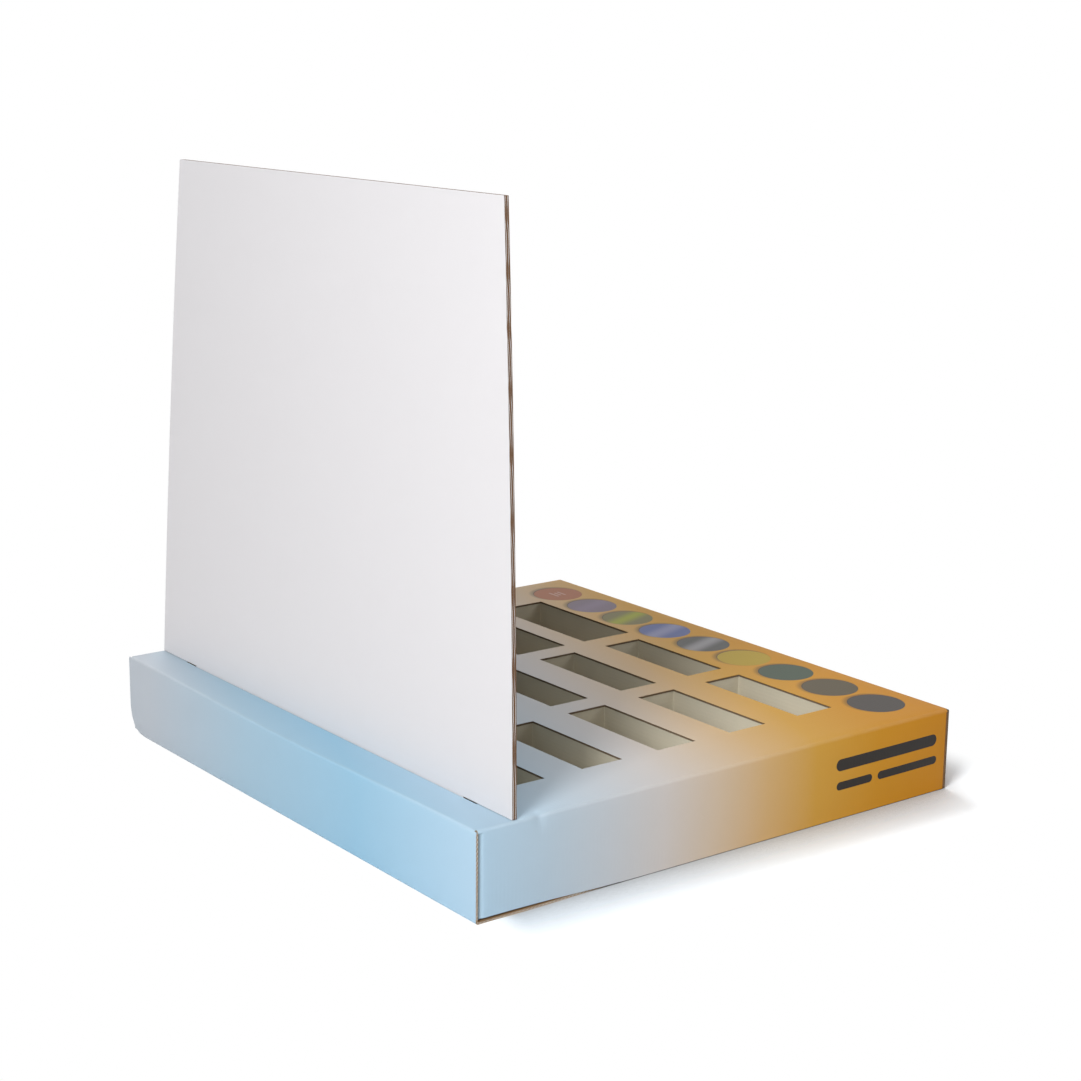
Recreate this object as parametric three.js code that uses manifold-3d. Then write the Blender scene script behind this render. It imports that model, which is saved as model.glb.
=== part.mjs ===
// A counter display stand of folded corrugated board: a low tray with fifteen pockets under windows in
// its top, and a tall header board that stands in a slot near the rear edge.
// Millimetres, +Z up. The origin is the centre of the tray's underside, X runs along the width, and the
// rear edge, where the header stands, is at +Y.
import * as THREE from "three";
import { mergeVertices } from "three/addons/utils/BufferGeometryUtils.js";
import Module from "manifold-3d";

const wasm = await Module();
wasm.setup();

// Board and folds
const BOARD = 1.6;
const FOLD_RADIUS = 2.2;
const FOLD_STEPS = 4;
const CLEARANCE = 0.3;

// Tray
const TRAY_WIDTH = 500;
const TRAY_DEPTH = 457;
const TRAY_HEIGHT = 66;
const SIDE_INSET = 0.8;
const SIDE_LIFT = 0.6;
const TUCK_FLAP_HEIGHT = 42;
const DUST_FLAP_LENGTH = 60;

// Windows in the top panel, and the pockets under them
const ROW_COUNT = 5;
const ROW_PITCH = 70.85;
const REAR_ROW_SETBACK = 81.8;
const LARGE_WINDOW_WIDTH = 128;
const LARGE_WINDOW_DEPTH = 50.4;
const SMALL_WINDOW_WIDTH = 108;
const SMALL_WINDOW_DEPTH = 37.4;
const COLUMN_GAP = 21;
const WINDOW_LIP = 0.5;
const GLUE_TAB_LENGTH = 15;

// Header board: two plies, leaning towards the front
const HEADER_THICKNESS = 3.6;
const HEADER_HEIGHT = 411;
const HEADER_EDGE_INSET = 2.5;
const HEADER_TAPER = 30;
const HEADER_SIDE_BULGE = 2.3;
const HEADER_SIDE_STEPS = 12;
const HEADER_SETBACK = 31.5;
const HEADER_LEAN = THREE.MathUtils.degToRad(1.6);
const SHOULDER_WIDTH = 56.5;
const TAB_FLOOR_GAP = 12;
const SLOT_END_PLAY = 16;
const SLOT_REAR_PLAY = 1.2;

// Sizes that follow from those above
const halfWidth = TRAY_WIDTH / 2;
const halfDepth = TRAY_DEPTH / 2;
const sideFace = halfWidth - SIDE_INSET;
const flapFace = halfDepth - BOARD - CLEARANCE;
const tuckFace = flapFace - BOARD - CLEARANCE;
const tuckHalfWidth = sideFace - BOARD - CLEARANCE;
const sideFoot = BOARD + SIDE_LIFT;
const ceiling = TRAY_HEIGHT - BOARD;
const foldJoin = FOLD_RADIUS + BOARD;
const headerHalfWidth = halfWidth - HEADER_EDGE_INSET;
const tabHalfWidth = headerHalfWidth - SHOULDER_WIDTH;

// One entry for each column of windows, from the large one at +X to the far side.
const columns = layOutColumns();

function layOutColumns() {
  const sizes = [
    { width: LARGE_WINDOW_WIDTH, depth: LARGE_WINDOW_DEPTH },
    { width: SMALL_WINDOW_WIDTH, depth: SMALL_WINDOW_DEPTH },
    { width: SMALL_WINDOW_WIDTH, depth: SMALL_WINDOW_DEPTH },
  ];
  const gaps = COLUMN_GAP * (sizes.length - 1);
  const total = sizes.reduce((sum, size) => sum + size.width, gaps);
  let edge = total / 2;
  return sizes.map((size) => {
    const x = edge - size.width / 2;
    edge -= size.width + COLUMN_GAP;
    return { x, ...size };
  });
}

// Rows are counted from the front of the tray.
function rowY(row) {
  return halfDepth - REAR_ROW_SETBACK - (ROW_COUNT - 1 - row) * ROW_PITCH;
}

function solidFrom(geometry) {
  const bare = new THREE.BufferGeometry();
  bare.setAttribute("position", geometry.getAttribute("position"));
  if (geometry.index) bare.setIndex(geometry.index);
  const merged = mergeVertices(bare, 1e-4);
  return new wasm.Manifold(
    new wasm.Mesh({
      numProp: 3,
      vertProperties: merged.getAttribute("position").array,
      triVerts: new Uint32Array(merged.index.array),
    }),
  );
}

function geometryFrom(solid) {
  const mesh = solid.getMesh();
  const geometry = new THREE.BufferGeometry();
  geometry.setAttribute("position", new THREE.BufferAttribute(mesh.vertProperties, 3));
  geometry.setIndex(new THREE.BufferAttribute(mesh.triVerts, 1));
  return flatShaded(geometry);
}

function flatShaded(geometry) {
  const faceted = geometry.index ? geometry.toNonIndexed() : geometry;
  faceted.computeVertexNormals();
  return faceted;
}

// The section of a folded strip of board. The corners are those of its outer face, and every fold is a
// right angle that turns the same way, so the board lies on the inside of the turns.
function foldedSection(corners) {
  const points = corners.map(([u, v]) => new THREE.Vector2(u, v));
  const directions = points.slice(1).map((point, i) => point.clone().sub(points[i]).normalize());
  const outer = [points[0]];
  const inner = [points[0].clone().addScaledVector(directions[1], BOARD)];
  for (let i = 1; i < points.length - 1; i++) {
    const before = directions[i - 1];
    const after = directions[i];
    const centre = points[i]
      .clone()
      .addScaledVector(before, -FOLD_RADIUS)
      .addScaledVector(after, FOLD_RADIUS);
    for (let step = 0; step <= FOLD_STEPS; step++) {
      const turn = (Math.PI / 2) * (step / FOLD_STEPS);
      const spoke = after
        .clone()
        .multiplyScalar(-Math.cos(turn))
        .addScaledVector(before, Math.sin(turn));
      outer.push(centre.clone().addScaledVector(spoke, FOLD_RADIUS));
      inner.push(centre.clone().addScaledVector(spoke, FOLD_RADIUS - BOARD));
    }
  }
  const end = points[points.length - 1];
  outer.push(end);
  inner.push(end.clone().addScaledVector(directions[directions.length - 2], -BOARD));
  return new THREE.Shape([...outer, ...inner.reverse()]);
}

function extruded(shape, length, curveSegments = 1) {
  return new THREE.ExtrudeGeometry(shape, { depth: length, bevelEnabled: false, curveSegments });
}

// A section drawn in Y and Z, run along X across the whole width.
function acrossWidth(corners) {
  const geometry = extruded(foldedSection(corners), TRAY_WIDTH);
  const axes = new THREE.Matrix4().makeBasis(
    new THREE.Vector3(0, 1, 0),
    new THREE.Vector3(0, 0, 1),
    new THREE.Vector3(1, 0, 0),
  );
  geometry.applyMatrix4(axes);
  geometry.translate(-halfWidth, 0, 0);
  return solidFrom(geometry);
}

// A section drawn in X and Z, run along Y from front to rear.
function alongDepth(corners, front, rear) {
  const geometry = extruded(foldedSection(corners), rear - front);
  const axes = new THREE.Matrix4().makeBasis(
    new THREE.Vector3(1, 0, 0),
    new THREE.Vector3(0, 0, 1),
    new THREE.Vector3(0, -1, 0),
  );
  geometry.applyMatrix4(axes);
  geometry.translate(0, rear, 0);
  return solidFrom(geometry);
}

function upright(shape, low, high) {
  const geometry = extruded(shape, high - low);
  geometry.translate(0, 0, low);
  return geometry;
}

function block(x, y, low, width, depth, height) {
  const geometry = new THREE.BoxGeometry(width, depth, height);
  geometry.translate(x, y, low + height / 2);
  return solidFrom(geometry);
}

// What is cut out of the top panel stands past both its faces.
function cutter(x, y, width, depth) {
  return block(x, y, ceiling - BOARD, width, depth, 3 * BOARD);
}

// The slot's front edge stays one clearance off the header's front face, and its rear edge stands back.
function slotCutter() {
  const front = halfDepth - HEADER_SETBACK - HEADER_THICKNESS / Math.cos(HEADER_LEAN) - CLEARANCE;
  const rear = halfDepth - HEADER_SETBACK + SLOT_REAR_PLAY;
  return cutter(0, (front + rear) / 2, 2 * (tabHalfWidth + SLOT_END_PLAY), rear - front);
}

function topPanel() {
  const width = 2 * (sideFace - FOLD_RADIUS);
  const depth = 2 * (halfDepth - FOLD_RADIUS);
  let panel = block(0, 0, ceiling, width, depth, BOARD).subtract(slotCutter());
  for (let row = 0; row < ROW_COUNT; row++)
    for (const column of columns)
      panel = panel.subtract(cutter(column.x, rowY(row), column.width, column.depth));
  return panel;
}

// The tuck flap stands behind the front dust flaps, so it is cut short to fit between the side panels.
function rearBottomAndTuckFlap() {
  const strip = acrossWidth([
    [halfDepth - foldJoin, TRAY_HEIGHT],
    [halfDepth, TRAY_HEIGHT],
    [halfDepth, 0],
    [-tuckFace, 0],
    [-tuckFace, TUCK_FLAP_HEIGHT],
  ]);
  return strip.subtract(tuckFlapNotch(1)).subtract(tuckFlapNotch(-1));
}

// side is +1 for the notch at +X and -1 for the one at -X.
function tuckFlapNotch(side) {
  const width = halfWidth - tuckHalfWidth + CLEARANCE;
  const depth = foldJoin + CLEARANCE;
  const height = TUCK_FLAP_HEIGHT + 2 * CLEARANCE;
  const x = side * (tuckHalfWidth + width / 2);
  const y = -tuckFace - CLEARANCE + depth / 2;
  return block(x, y, -CLEARANCE, width, depth, height);
}

function frontPanel() {
  return acrossWidth([
    [-(halfDepth - foldJoin), TRAY_HEIGHT],
    [-halfDepth, TRAY_HEIGHT],
    [-halfDepth, CLEARANCE],
  ]);
}

// side is +1 for the panel at +X and -1 for the one at -X. The upper part is the fold from the top
// panel, and the lower part runs round into the two dust flaps, which lie against the rear and the front
// panels.
function sidePanelWithDustFlaps(side) {
  const face = side * sideFace;
  const flapEnd = side * (sideFace - DUST_FLAP_LENGTH);
  const rear = flapFace;
  const front = -flapFace;
  const fold = alongDepth(
    [
      [side * (sideFace - foldJoin), TRAY_HEIGHT],
      [face, TRAY_HEIGHT],
      [face, sideFoot],
    ],
    front + FOLD_RADIUS,
    rear - FOLD_RADIUS,
  );
  const panel = foldedSection([
    [flapEnd, rear],
    [face, rear],
    [face, front],
    [flapEnd, front],
  ]);
  return fold.add(solidFrom(upright(panel, sideFoot, ceiling - CLEARANCE)));
}

function outerBox() {
  return geometryFrom(
    topPanel()
      .add(rearBottomAndTuckFlap())
      .add(frontPanel())
      .add(sidePanelWithDustFlaps(1))
      .add(sidePanelWithDustFlaps(-1)),
  );
}

// A strip folded into a rectangular tube. Its inner faces stand back from the window by the lip, and
// the glue tab laps the outside of the first wall.
function sleeve(column) {
  const right = column.width / 2 + WINDOW_LIP + BOARD;
  const back = column.depth / 2 + WINDOW_LIP + BOARD;
  const lap = BOARD + CLEARANCE;
  const section = foldedSection([
    [right, back - FOLD_RADIUS],
    [right, -back],
    [-right, -back],
    [-right, back],
    [right + lap, back],
    [right + lap, back - FOLD_RADIUS - GLUE_TAB_LENGTH],
  ]);
  return flatShaded(upright(section, BOARD + CLEARANCE, ceiling - CLEARANCE));
}

// The header is drawn flat with its shoulders at height 0, and is 0 to -thickness deep.
function headerBoard() {
  const topHalfWidth = headerHalfWidth - HEADER_TAPER;
  const middle = (headerHalfWidth + topHalfWidth) / 2 + 2 * HEADER_SIDE_BULGE;
  const tabDepth = TRAY_HEIGHT - BOARD - TAB_FLOOR_GAP;
  const outline = new THREE.Shape();
  outline.moveTo(tabHalfWidth, -tabDepth);
  outline.lineTo(tabHalfWidth, 0);
  outline.lineTo(headerHalfWidth, 0);
  outline.quadraticCurveTo(middle, HEADER_HEIGHT / 2, topHalfWidth, HEADER_HEIGHT);
  outline.lineTo(-topHalfWidth, HEADER_HEIGHT);
  outline.quadraticCurveTo(-middle, HEADER_HEIGHT / 2, -headerHalfWidth, 0);
  outline.lineTo(-tabHalfWidth, 0);
  outline.lineTo(-tabHalfWidth, -tabDepth);
  outline.closePath();
  const geometry = extruded(outline, HEADER_THICKNESS, HEADER_SIDE_STEPS);
  geometry.rotateX(Math.PI / 2);
  return flatShaded(geometry);
}

const printedBoard = new THREE.MeshStandardMaterial({
  color: new THREE.Color(0.72, 0.74, 0.74),
  roughness: 0.55,
  metalness: 0,
});
const plainBoard = new THREE.MeshStandardMaterial({
  color: new THREE.Color(0.74, 0.7, 0.62),
  roughness: 0.9,
  metalness: 0,
});
const whiteBoard = new THREE.MeshStandardMaterial({
  color: new THREE.Color(0.88, 0.88, 0.89),
  roughness: 0.8,
  metalness: 0,
});

function part(name, geometry, material) {
  const mesh = new THREE.Mesh(geometry, material.clone());
  mesh.name = name;
  return mesh;
}

const stand = new THREE.Group();
stand.add(part("outer_box", outerBox(), printedBoard));
for (let row = 0; row < ROW_COUNT; row++)
  columns.forEach((column, i) => {
    const tube = part(`sleeve_r${row + 1}_c${i + 1}`, sleeve(column), plainBoard);
    tube.position.set(column.x, rowY(row), 0);
    stand.add(tube);
  });

const header = part("header_board", headerBoard(), whiteBoard);
header.rotation.x = HEADER_LEAN;
header.position.set(
  0,
  halfDepth - HEADER_SETBACK,
  TRAY_HEIGHT + CLEARANCE + HEADER_THICKNESS * Math.sin(HEADER_LEAN),
);
stand.add(header);

export default stand;
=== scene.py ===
"""Looks of a folded board counter display: a printed tray with pockets, and a white header board.

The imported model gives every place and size. The tray, the pocket sleeves and the header are made again
as real board: a face that is cut and folded from a flat blank, two liners, and the fluted paper between
them, which shows at the cut edges. All the piece sizes below are millimetres.
"""

from __future__ import annotations

import logging
import math
from dataclasses import dataclass, field
from enum import Enum
from typing import Callable

import bpy
import numpy as np
from mathutils import Matrix, Vector

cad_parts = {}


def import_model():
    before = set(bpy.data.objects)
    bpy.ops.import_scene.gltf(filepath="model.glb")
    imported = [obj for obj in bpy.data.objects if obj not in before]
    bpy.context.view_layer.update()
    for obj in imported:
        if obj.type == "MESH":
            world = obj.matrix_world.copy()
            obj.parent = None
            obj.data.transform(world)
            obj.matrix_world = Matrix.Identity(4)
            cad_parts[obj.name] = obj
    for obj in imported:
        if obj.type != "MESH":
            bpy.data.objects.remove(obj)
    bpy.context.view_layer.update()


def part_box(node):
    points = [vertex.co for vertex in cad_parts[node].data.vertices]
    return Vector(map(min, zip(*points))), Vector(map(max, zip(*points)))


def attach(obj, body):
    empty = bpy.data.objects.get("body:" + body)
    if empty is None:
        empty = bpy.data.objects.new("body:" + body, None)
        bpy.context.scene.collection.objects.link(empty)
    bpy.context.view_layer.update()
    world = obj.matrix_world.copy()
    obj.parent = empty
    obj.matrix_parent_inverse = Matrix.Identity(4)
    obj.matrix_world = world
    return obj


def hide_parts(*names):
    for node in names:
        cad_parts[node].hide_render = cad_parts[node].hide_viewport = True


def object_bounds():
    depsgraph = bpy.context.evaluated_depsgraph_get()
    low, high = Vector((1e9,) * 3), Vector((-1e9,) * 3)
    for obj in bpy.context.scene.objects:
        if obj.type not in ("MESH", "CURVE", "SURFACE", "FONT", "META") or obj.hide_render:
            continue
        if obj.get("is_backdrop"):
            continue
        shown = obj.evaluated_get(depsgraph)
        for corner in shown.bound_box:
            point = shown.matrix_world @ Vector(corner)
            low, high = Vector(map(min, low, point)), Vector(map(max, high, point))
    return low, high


LOG = logging.getLogger("display_stand")
MM = 0.001
NEAR = 1e-6
WHITE = (1.0, 1.0, 1.0, 1.0)
BODY = "root"

Colour = tuple[float, float, float]
Placed = tuple[tuple[float, float, float], tuple[float, float, float]]
Socket = bpy.types.NodeSocket
Axes = dict[str, Socket]


def linear(red: int, green: int, blue: int) -> Colour:
    """Turns a colour written as 0 to 255 screen values into Blender's linear values.

    Args:
        red: Screen value of red.
        green: Screen value of green.
        blue: Screen value of blue.

    Returns:
        The linear colour.
    """
    shares = (red / 255, green / 255, blue / 255)
    return tuple(s / 12.92 if s <= 0.04045 else ((s + 0.055) / 1.055) ** 2.4 for s in shares)


def smooth(low: float, high: float, value: float) -> float:
    """Rises smoothly from 0 at low to 1 at high.

    Args:
        low: Where the rise starts.
        high: Where it ends, which may be below low.
        value: The place to read.

    Returns:
        The share from 0 to 1.
    """
    share = min(1.0, max(0.0, (value - low) / (high - low)))
    return share * share * (3 - 2 * share)


class Finish(Enum):
    """The places on a board's mesh that take a material of their own."""

    OUTER = 0
    INNER = 1
    CUT = 2
    # Darker cut colour: painted shade for cut edges that lie in shade, at the windows and at the front.
    SHADED_CUT = 3


@dataclass(frozen=True)
class Board:
    """Corrugated board: liners with fluted paper between them.

    Attributes:
        ply: Thickness of one ply.
        plies: How many plies are laminated together.
        liner: Thickness of one liner.
        pitch: Length of one wave of the flutes.
        paper: Thickness of the fluted paper.
        edge_recess: How far the flutes stand back at a cut edge.
        window_recess: The same at a window, where the cut is crushed less.
    """

    ply: float = 1.6
    plies: int = 1
    liner: float = 0.24
    pitch: float = 3.3
    paper: float = 0.16
    edge_recess: float = 0.55
    window_recess: float = 0.35

    @property
    def thickness(self) -> float:
        """Thickness of all the plies."""
        return self.ply * self.plies

    def channels(self) -> list[tuple[float, float]]:
        """The depths between which each ply's flutes lie."""
        return [
            (i * self.ply + self.liner, (i + 1) * self.ply - self.liner)
            for i in range(self.plies)
        ]


@dataclass(frozen=True)
class FoldPath:
    """A path that bends by right angles, measured along the board's outer face.

    Attributes:
        corners: The outer face's corners, in order.
        radius: Outer radius of each fold.
        outside: 1 if the outside is on the path's left, and -1 if it is on its right.
        steps: Lines across each fold.
    """

    corners: tuple[tuple[float, float], ...]
    radius: float
    outside: int
    steps: int = 6

    def stretches(self) -> list[tuple[float, float, np.ndarray, np.ndarray, bool]]:
        """Splits the path into straights and folds.

        Returns:
            Start and end along the path, start point or fold centre, direction, and whether it is a fold.
        """
        points = [np.array(c, float) for c in self.corners]
        ways = [(b - a) / np.linalg.norm(b - a) for a, b in zip(points, points[1:])]
        found = []
        run = 0.0
        for i, way in enumerate(ways):
            start = points[i] + way * (self.radius if i else 0.0)
            end = points[i + 1] - way * (self.radius if i + 1 < len(ways) else 0.0)
            length = float(np.linalg.norm(end - start))
            found.append((run, run + length, start, way, False))
            run += length
            if i + 1 < len(ways):
                centre = end + ways[i + 1] * self.radius
                arc = math.pi / 2 * self.radius
                found.append((run, run + arc, centre, way, True))
                run += arc
        return found

    def at(self, run: float) -> tuple[np.ndarray, np.ndarray]:
        """Point and outward normal at a length along the path.

        Args:
            run: Length from the path's start.

        Returns:
            The point and the normal.
        """
        for low, high, anchor, way, fold in self.stretches():
            if run <= high + NEAR:
                break
        side = np.array((-way[1], way[0])) * self.outside
        if not fold:
            return anchor + way * (run - low), side
        turn = (run - low) / (high - low) * math.pi / 2
        spoke = side * math.cos(turn) + way * math.sin(turn)
        return anchor + spoke * self.radius, spoke

    def lines(self, pitch: float, extra: tuple[float, ...] = ()) -> list[float]:
        """Lengths along the path at which a grid has its lines.

        Args:
            pitch: Widest gap on a straight.
            extra: Lengths that get a line in any case.

        Returns:
            The sorted lengths.
        """
        marks: set[float] = set()
        for low, high, _, _, fold in self.stretches():
            if fold:
                marks.update(low + (high - low) * i / self.steps for i in range(self.steps + 1))
            else:
                stops = [low, *sorted(e for e in extra if low < e < high), high]
                for a, b in zip(stops, stops[1:]):
                    count = max(1, math.ceil((b - a) / pitch))
                    marks.update(a + (b - a) * i / count for i in range(count + 1))
        return merged(marks)


def merged(marks: set[float], nearest: float = 0.02) -> list[float]:
    """Sorts marks and drops those that lie on another."""
    kept: list[float] = []
    for mark in sorted(marks):
        if not kept or mark - kept[-1] > nearest:
            kept.append(mark)
    return kept


@dataclass
class Sheet:
    """A face of board, cut and folded, before it has a thickness.

    Attributes:
        points: Outer face's points.
        normals: Outward normals.
        flutes: Place of each point across the flutes.
        quads: Faces, as point numbers.
    """

    points: list[np.ndarray] = field(default_factory=list)
    normals: list[np.ndarray] = field(default_factory=list)
    flutes: list[float] = field(default_factory=list)
    quads: list[tuple[int, int, int, int]] = field(default_factory=list)
    _seen: dict[tuple[int, int, int], int] = field(default_factory=dict)

    def _point(self, place: Placed, flute: float) -> int:
        """Adds a point, or finds the one that is already there."""
        steps_per_mm = 100
        position, normal = (np.array(p, float) for p in place)
        key = tuple(int(round(c * steps_per_mm)) for c in position)
        if key not in self._seen:
            self._seen[key] = len(self.points)
            self.points.append(position)
            self.normals.append(normal)
            self.flutes.append(flute)
        return self._seen[key]

    def add_patch(
        self,
        across: list[float],
        along: list[float],
        place: Callable[[float, float], Placed],
        flute: Callable[[float, float], float],
        cut: Callable[[float, float], bool] = lambda a, b: False,
    ) -> None:
        """Adds a grid of faces.

        Args:
            across: Grid lines of the first coordinate.
            along: Grid lines of the second coordinate.
            place: Gives the point and normal of a grid crossing.
            flute: Gives the place across the flutes of a grid crossing.
            cut: Says whether the cell around a middle is cut away.
        """
        for a, a_next in zip(across, across[1:]):
            for b, b_next in zip(along, along[1:]):
                if cut((a + a_next) / 2, (b + b_next) / 2):
                    continue
                corners = ((a, b), (a_next, b), (a_next, b_next), (a, b_next))
                quad = tuple(self._point(place(*c), flute(*c)) for c in corners)
                if len(set(quad)) == 4:
                    self.quads.append(self._facing_out(quad))

    def _facing_out(self, quad: tuple[int, ...]) -> tuple[int, ...]:
        """Orders a face's points so that it faces its normals."""
        p = [self.points[i] for i in quad]
        normal = np.cross(p[2] - p[0], p[3] - p[1])
        outward = sum(self.normals[i] for i in quad)
        return quad if float(normal @ outward) > 0 else tuple(reversed(quad))

    def moved(self, move: Callable[[np.ndarray], np.ndarray]) -> None:
        """Moves every point by a bend, dent or bow.

        Args:
            move: Gives the new place of a point.
        """
        self.points = [move(p) for p in self.points]

    def rims(self) -> list[list[int]]:
        """The loops of points along the cut edges, with the board on their left."""
        directed = {(q[i], q[(i + 1) % 4]) for q in self.quads for i in range(4)}
        onward: dict[int, list[int]] = {}
        for a, b in directed:
            if (b, a) not in directed:
                onward.setdefault(a, []).append(b)
        loops = []
        while onward:
            start = min(onward)
            loop = [start]
            while True:
                here = loop[-1]
                ahead = onward[here].pop()
                if not onward[here]:
                    del onward[here]
                if ahead == start:
                    break
                loop.append(ahead)
            loops.append(loop)
        return loops

    def inward(self, loop: list[int]) -> list[np.ndarray]:
        """Directions along the face, away from a cut edge, one for each point of its loop."""
        sharpest = 0.4
        found = []
        count = len(loop)
        for i, here in enumerate(loop):
            before, after = loop[i - 1], loop[(i + 1) % count]
            sides = []
            for a, b in ((before, here), (here, after)):
                side = np.cross(self.normals[here], self.points[b] - self.points[a])
                sides.append(side / max(float(np.linalg.norm(side)), 1e-9))
            both = sides[0] + sides[1]
            found.append(both / max(1.0 + float(sides[0] @ sides[1]), sharpest))
        return found


class Solid:
    """Gives a sheet its liners and thickness, as one closed mesh."""

    sharp_angle = math.radians(32)

    def __init__(self, name: str, sheet: Sheet, board: Board) -> None:
        """Keeps what the mesh is made from.

        Args:
            name: Name of the piece.
            sheet: Its outer face.
            board: Its make of board.
        """
        self.name = name
        self.sheet = sheet
        self.board = board
        self.points: list[np.ndarray] = []
        self.faces: list[tuple[int, ...]] = []
        self.finishes: list[int] = []

    def _add(self, points: list[np.ndarray]) -> int:
        """Adds points and gives the number of the first."""
        first = len(self.points)
        self.points.extend(points)
        return first

    def _face(self, corners: tuple[int, ...], finish: Finish) -> None:
        """Adds a face."""
        self.faces.append(corners)
        self.finishes.append(finish.value)

    def build(
        self,
        is_window: Callable[[np.ndarray], bool] = lambda _: False,
        has_painted_shade: Callable[[np.ndarray], bool] = lambda _: False,
    ) -> bpy.types.Object:
        """Builds the mesh.

        Args:
            is_window: Says whether the loop of cut edge around a point is a window's.
            has_painted_shade: Says whether the cut edge at a point takes the darker cut colour, which is
                painted shade for an edge that lies in shade.

        Returns:
            The object, with material places as in Finish.
        """
        sheet, board = self.sheet, self.board
        depth = board.thickness
        self._add(sheet.points)
        back = self._add([p - n * depth for p, n in zip(sheet.points, sheet.normals)])
        for quad in sheet.quads:
            self._face(quad, Finish.OUTER)
            self._face(tuple(back + i for i in reversed(quad)), Finish.INNER)
        for loop in sheet.rims():
            window = is_window(np.mean([sheet.points[i] for i in loop], axis=0))
            # Painted shade: window edges and the flagged front edges take the darker cut colour.
            dark = [window or has_painted_shade(sheet.points[i]) for i in loop]
            self._rim(loop, back, window, dark)
        return self._object()

    def _rim(self, loop: list[int], back: int, window: bool, dark: list[bool]) -> None:
        """Adds a cut edge: liners that reach the cut, and the core set back between them."""
        sheet, board = self.sheet, self.board
        recess = board.window_recess if window else board.edge_recess
        inward = sheet.inward(loop)
        rings = [list(loop)]
        for top, low in board.channels():
            for level, step in ((top, 0.0), (top, recess), (low, recess), (low, 0.0)):
                first = self._add(
                    [
                        sheet.points[i] - sheet.normals[i] * level + way * step
                        for i, way in zip(loop, inward)
                    ]
                )
                rings.append([first + i for i in range(len(loop))])
        rings.append([back + i for i in loop])
        count = len(loop)
        for step, (upper, lower) in enumerate(zip(rings, rings[1:])):
            for i in range(count):
                ahead = (i + 1) % count
                finish = Finish.SHADED_CUT if dark[i] else Finish.CUT
                if window and step == 0:
                    finish = Finish.OUTER
                self._face((upper[i], lower[i], lower[ahead], upper[ahead]), finish)

    def _object(self) -> bpy.types.Object:
        """Makes the object, smooth over its folds and sharp at its cuts."""
        mesh = bpy.data.meshes.new(self.name)
        mesh.from_pydata([tuple(p * MM) for p in self.points], [], self.faces)
        mesh.polygons.foreach_set("material_index", self.finishes)
        mesh.polygons.foreach_set("use_smooth", [True] * len(self.faces))
        mesh.set_sharp_from_angle(angle=self.sharp_angle)
        mesh.update()
        piece = bpy.data.objects.new(self.name, mesh)
        bpy.context.scene.collection.objects.link(piece)
        return piece


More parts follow.
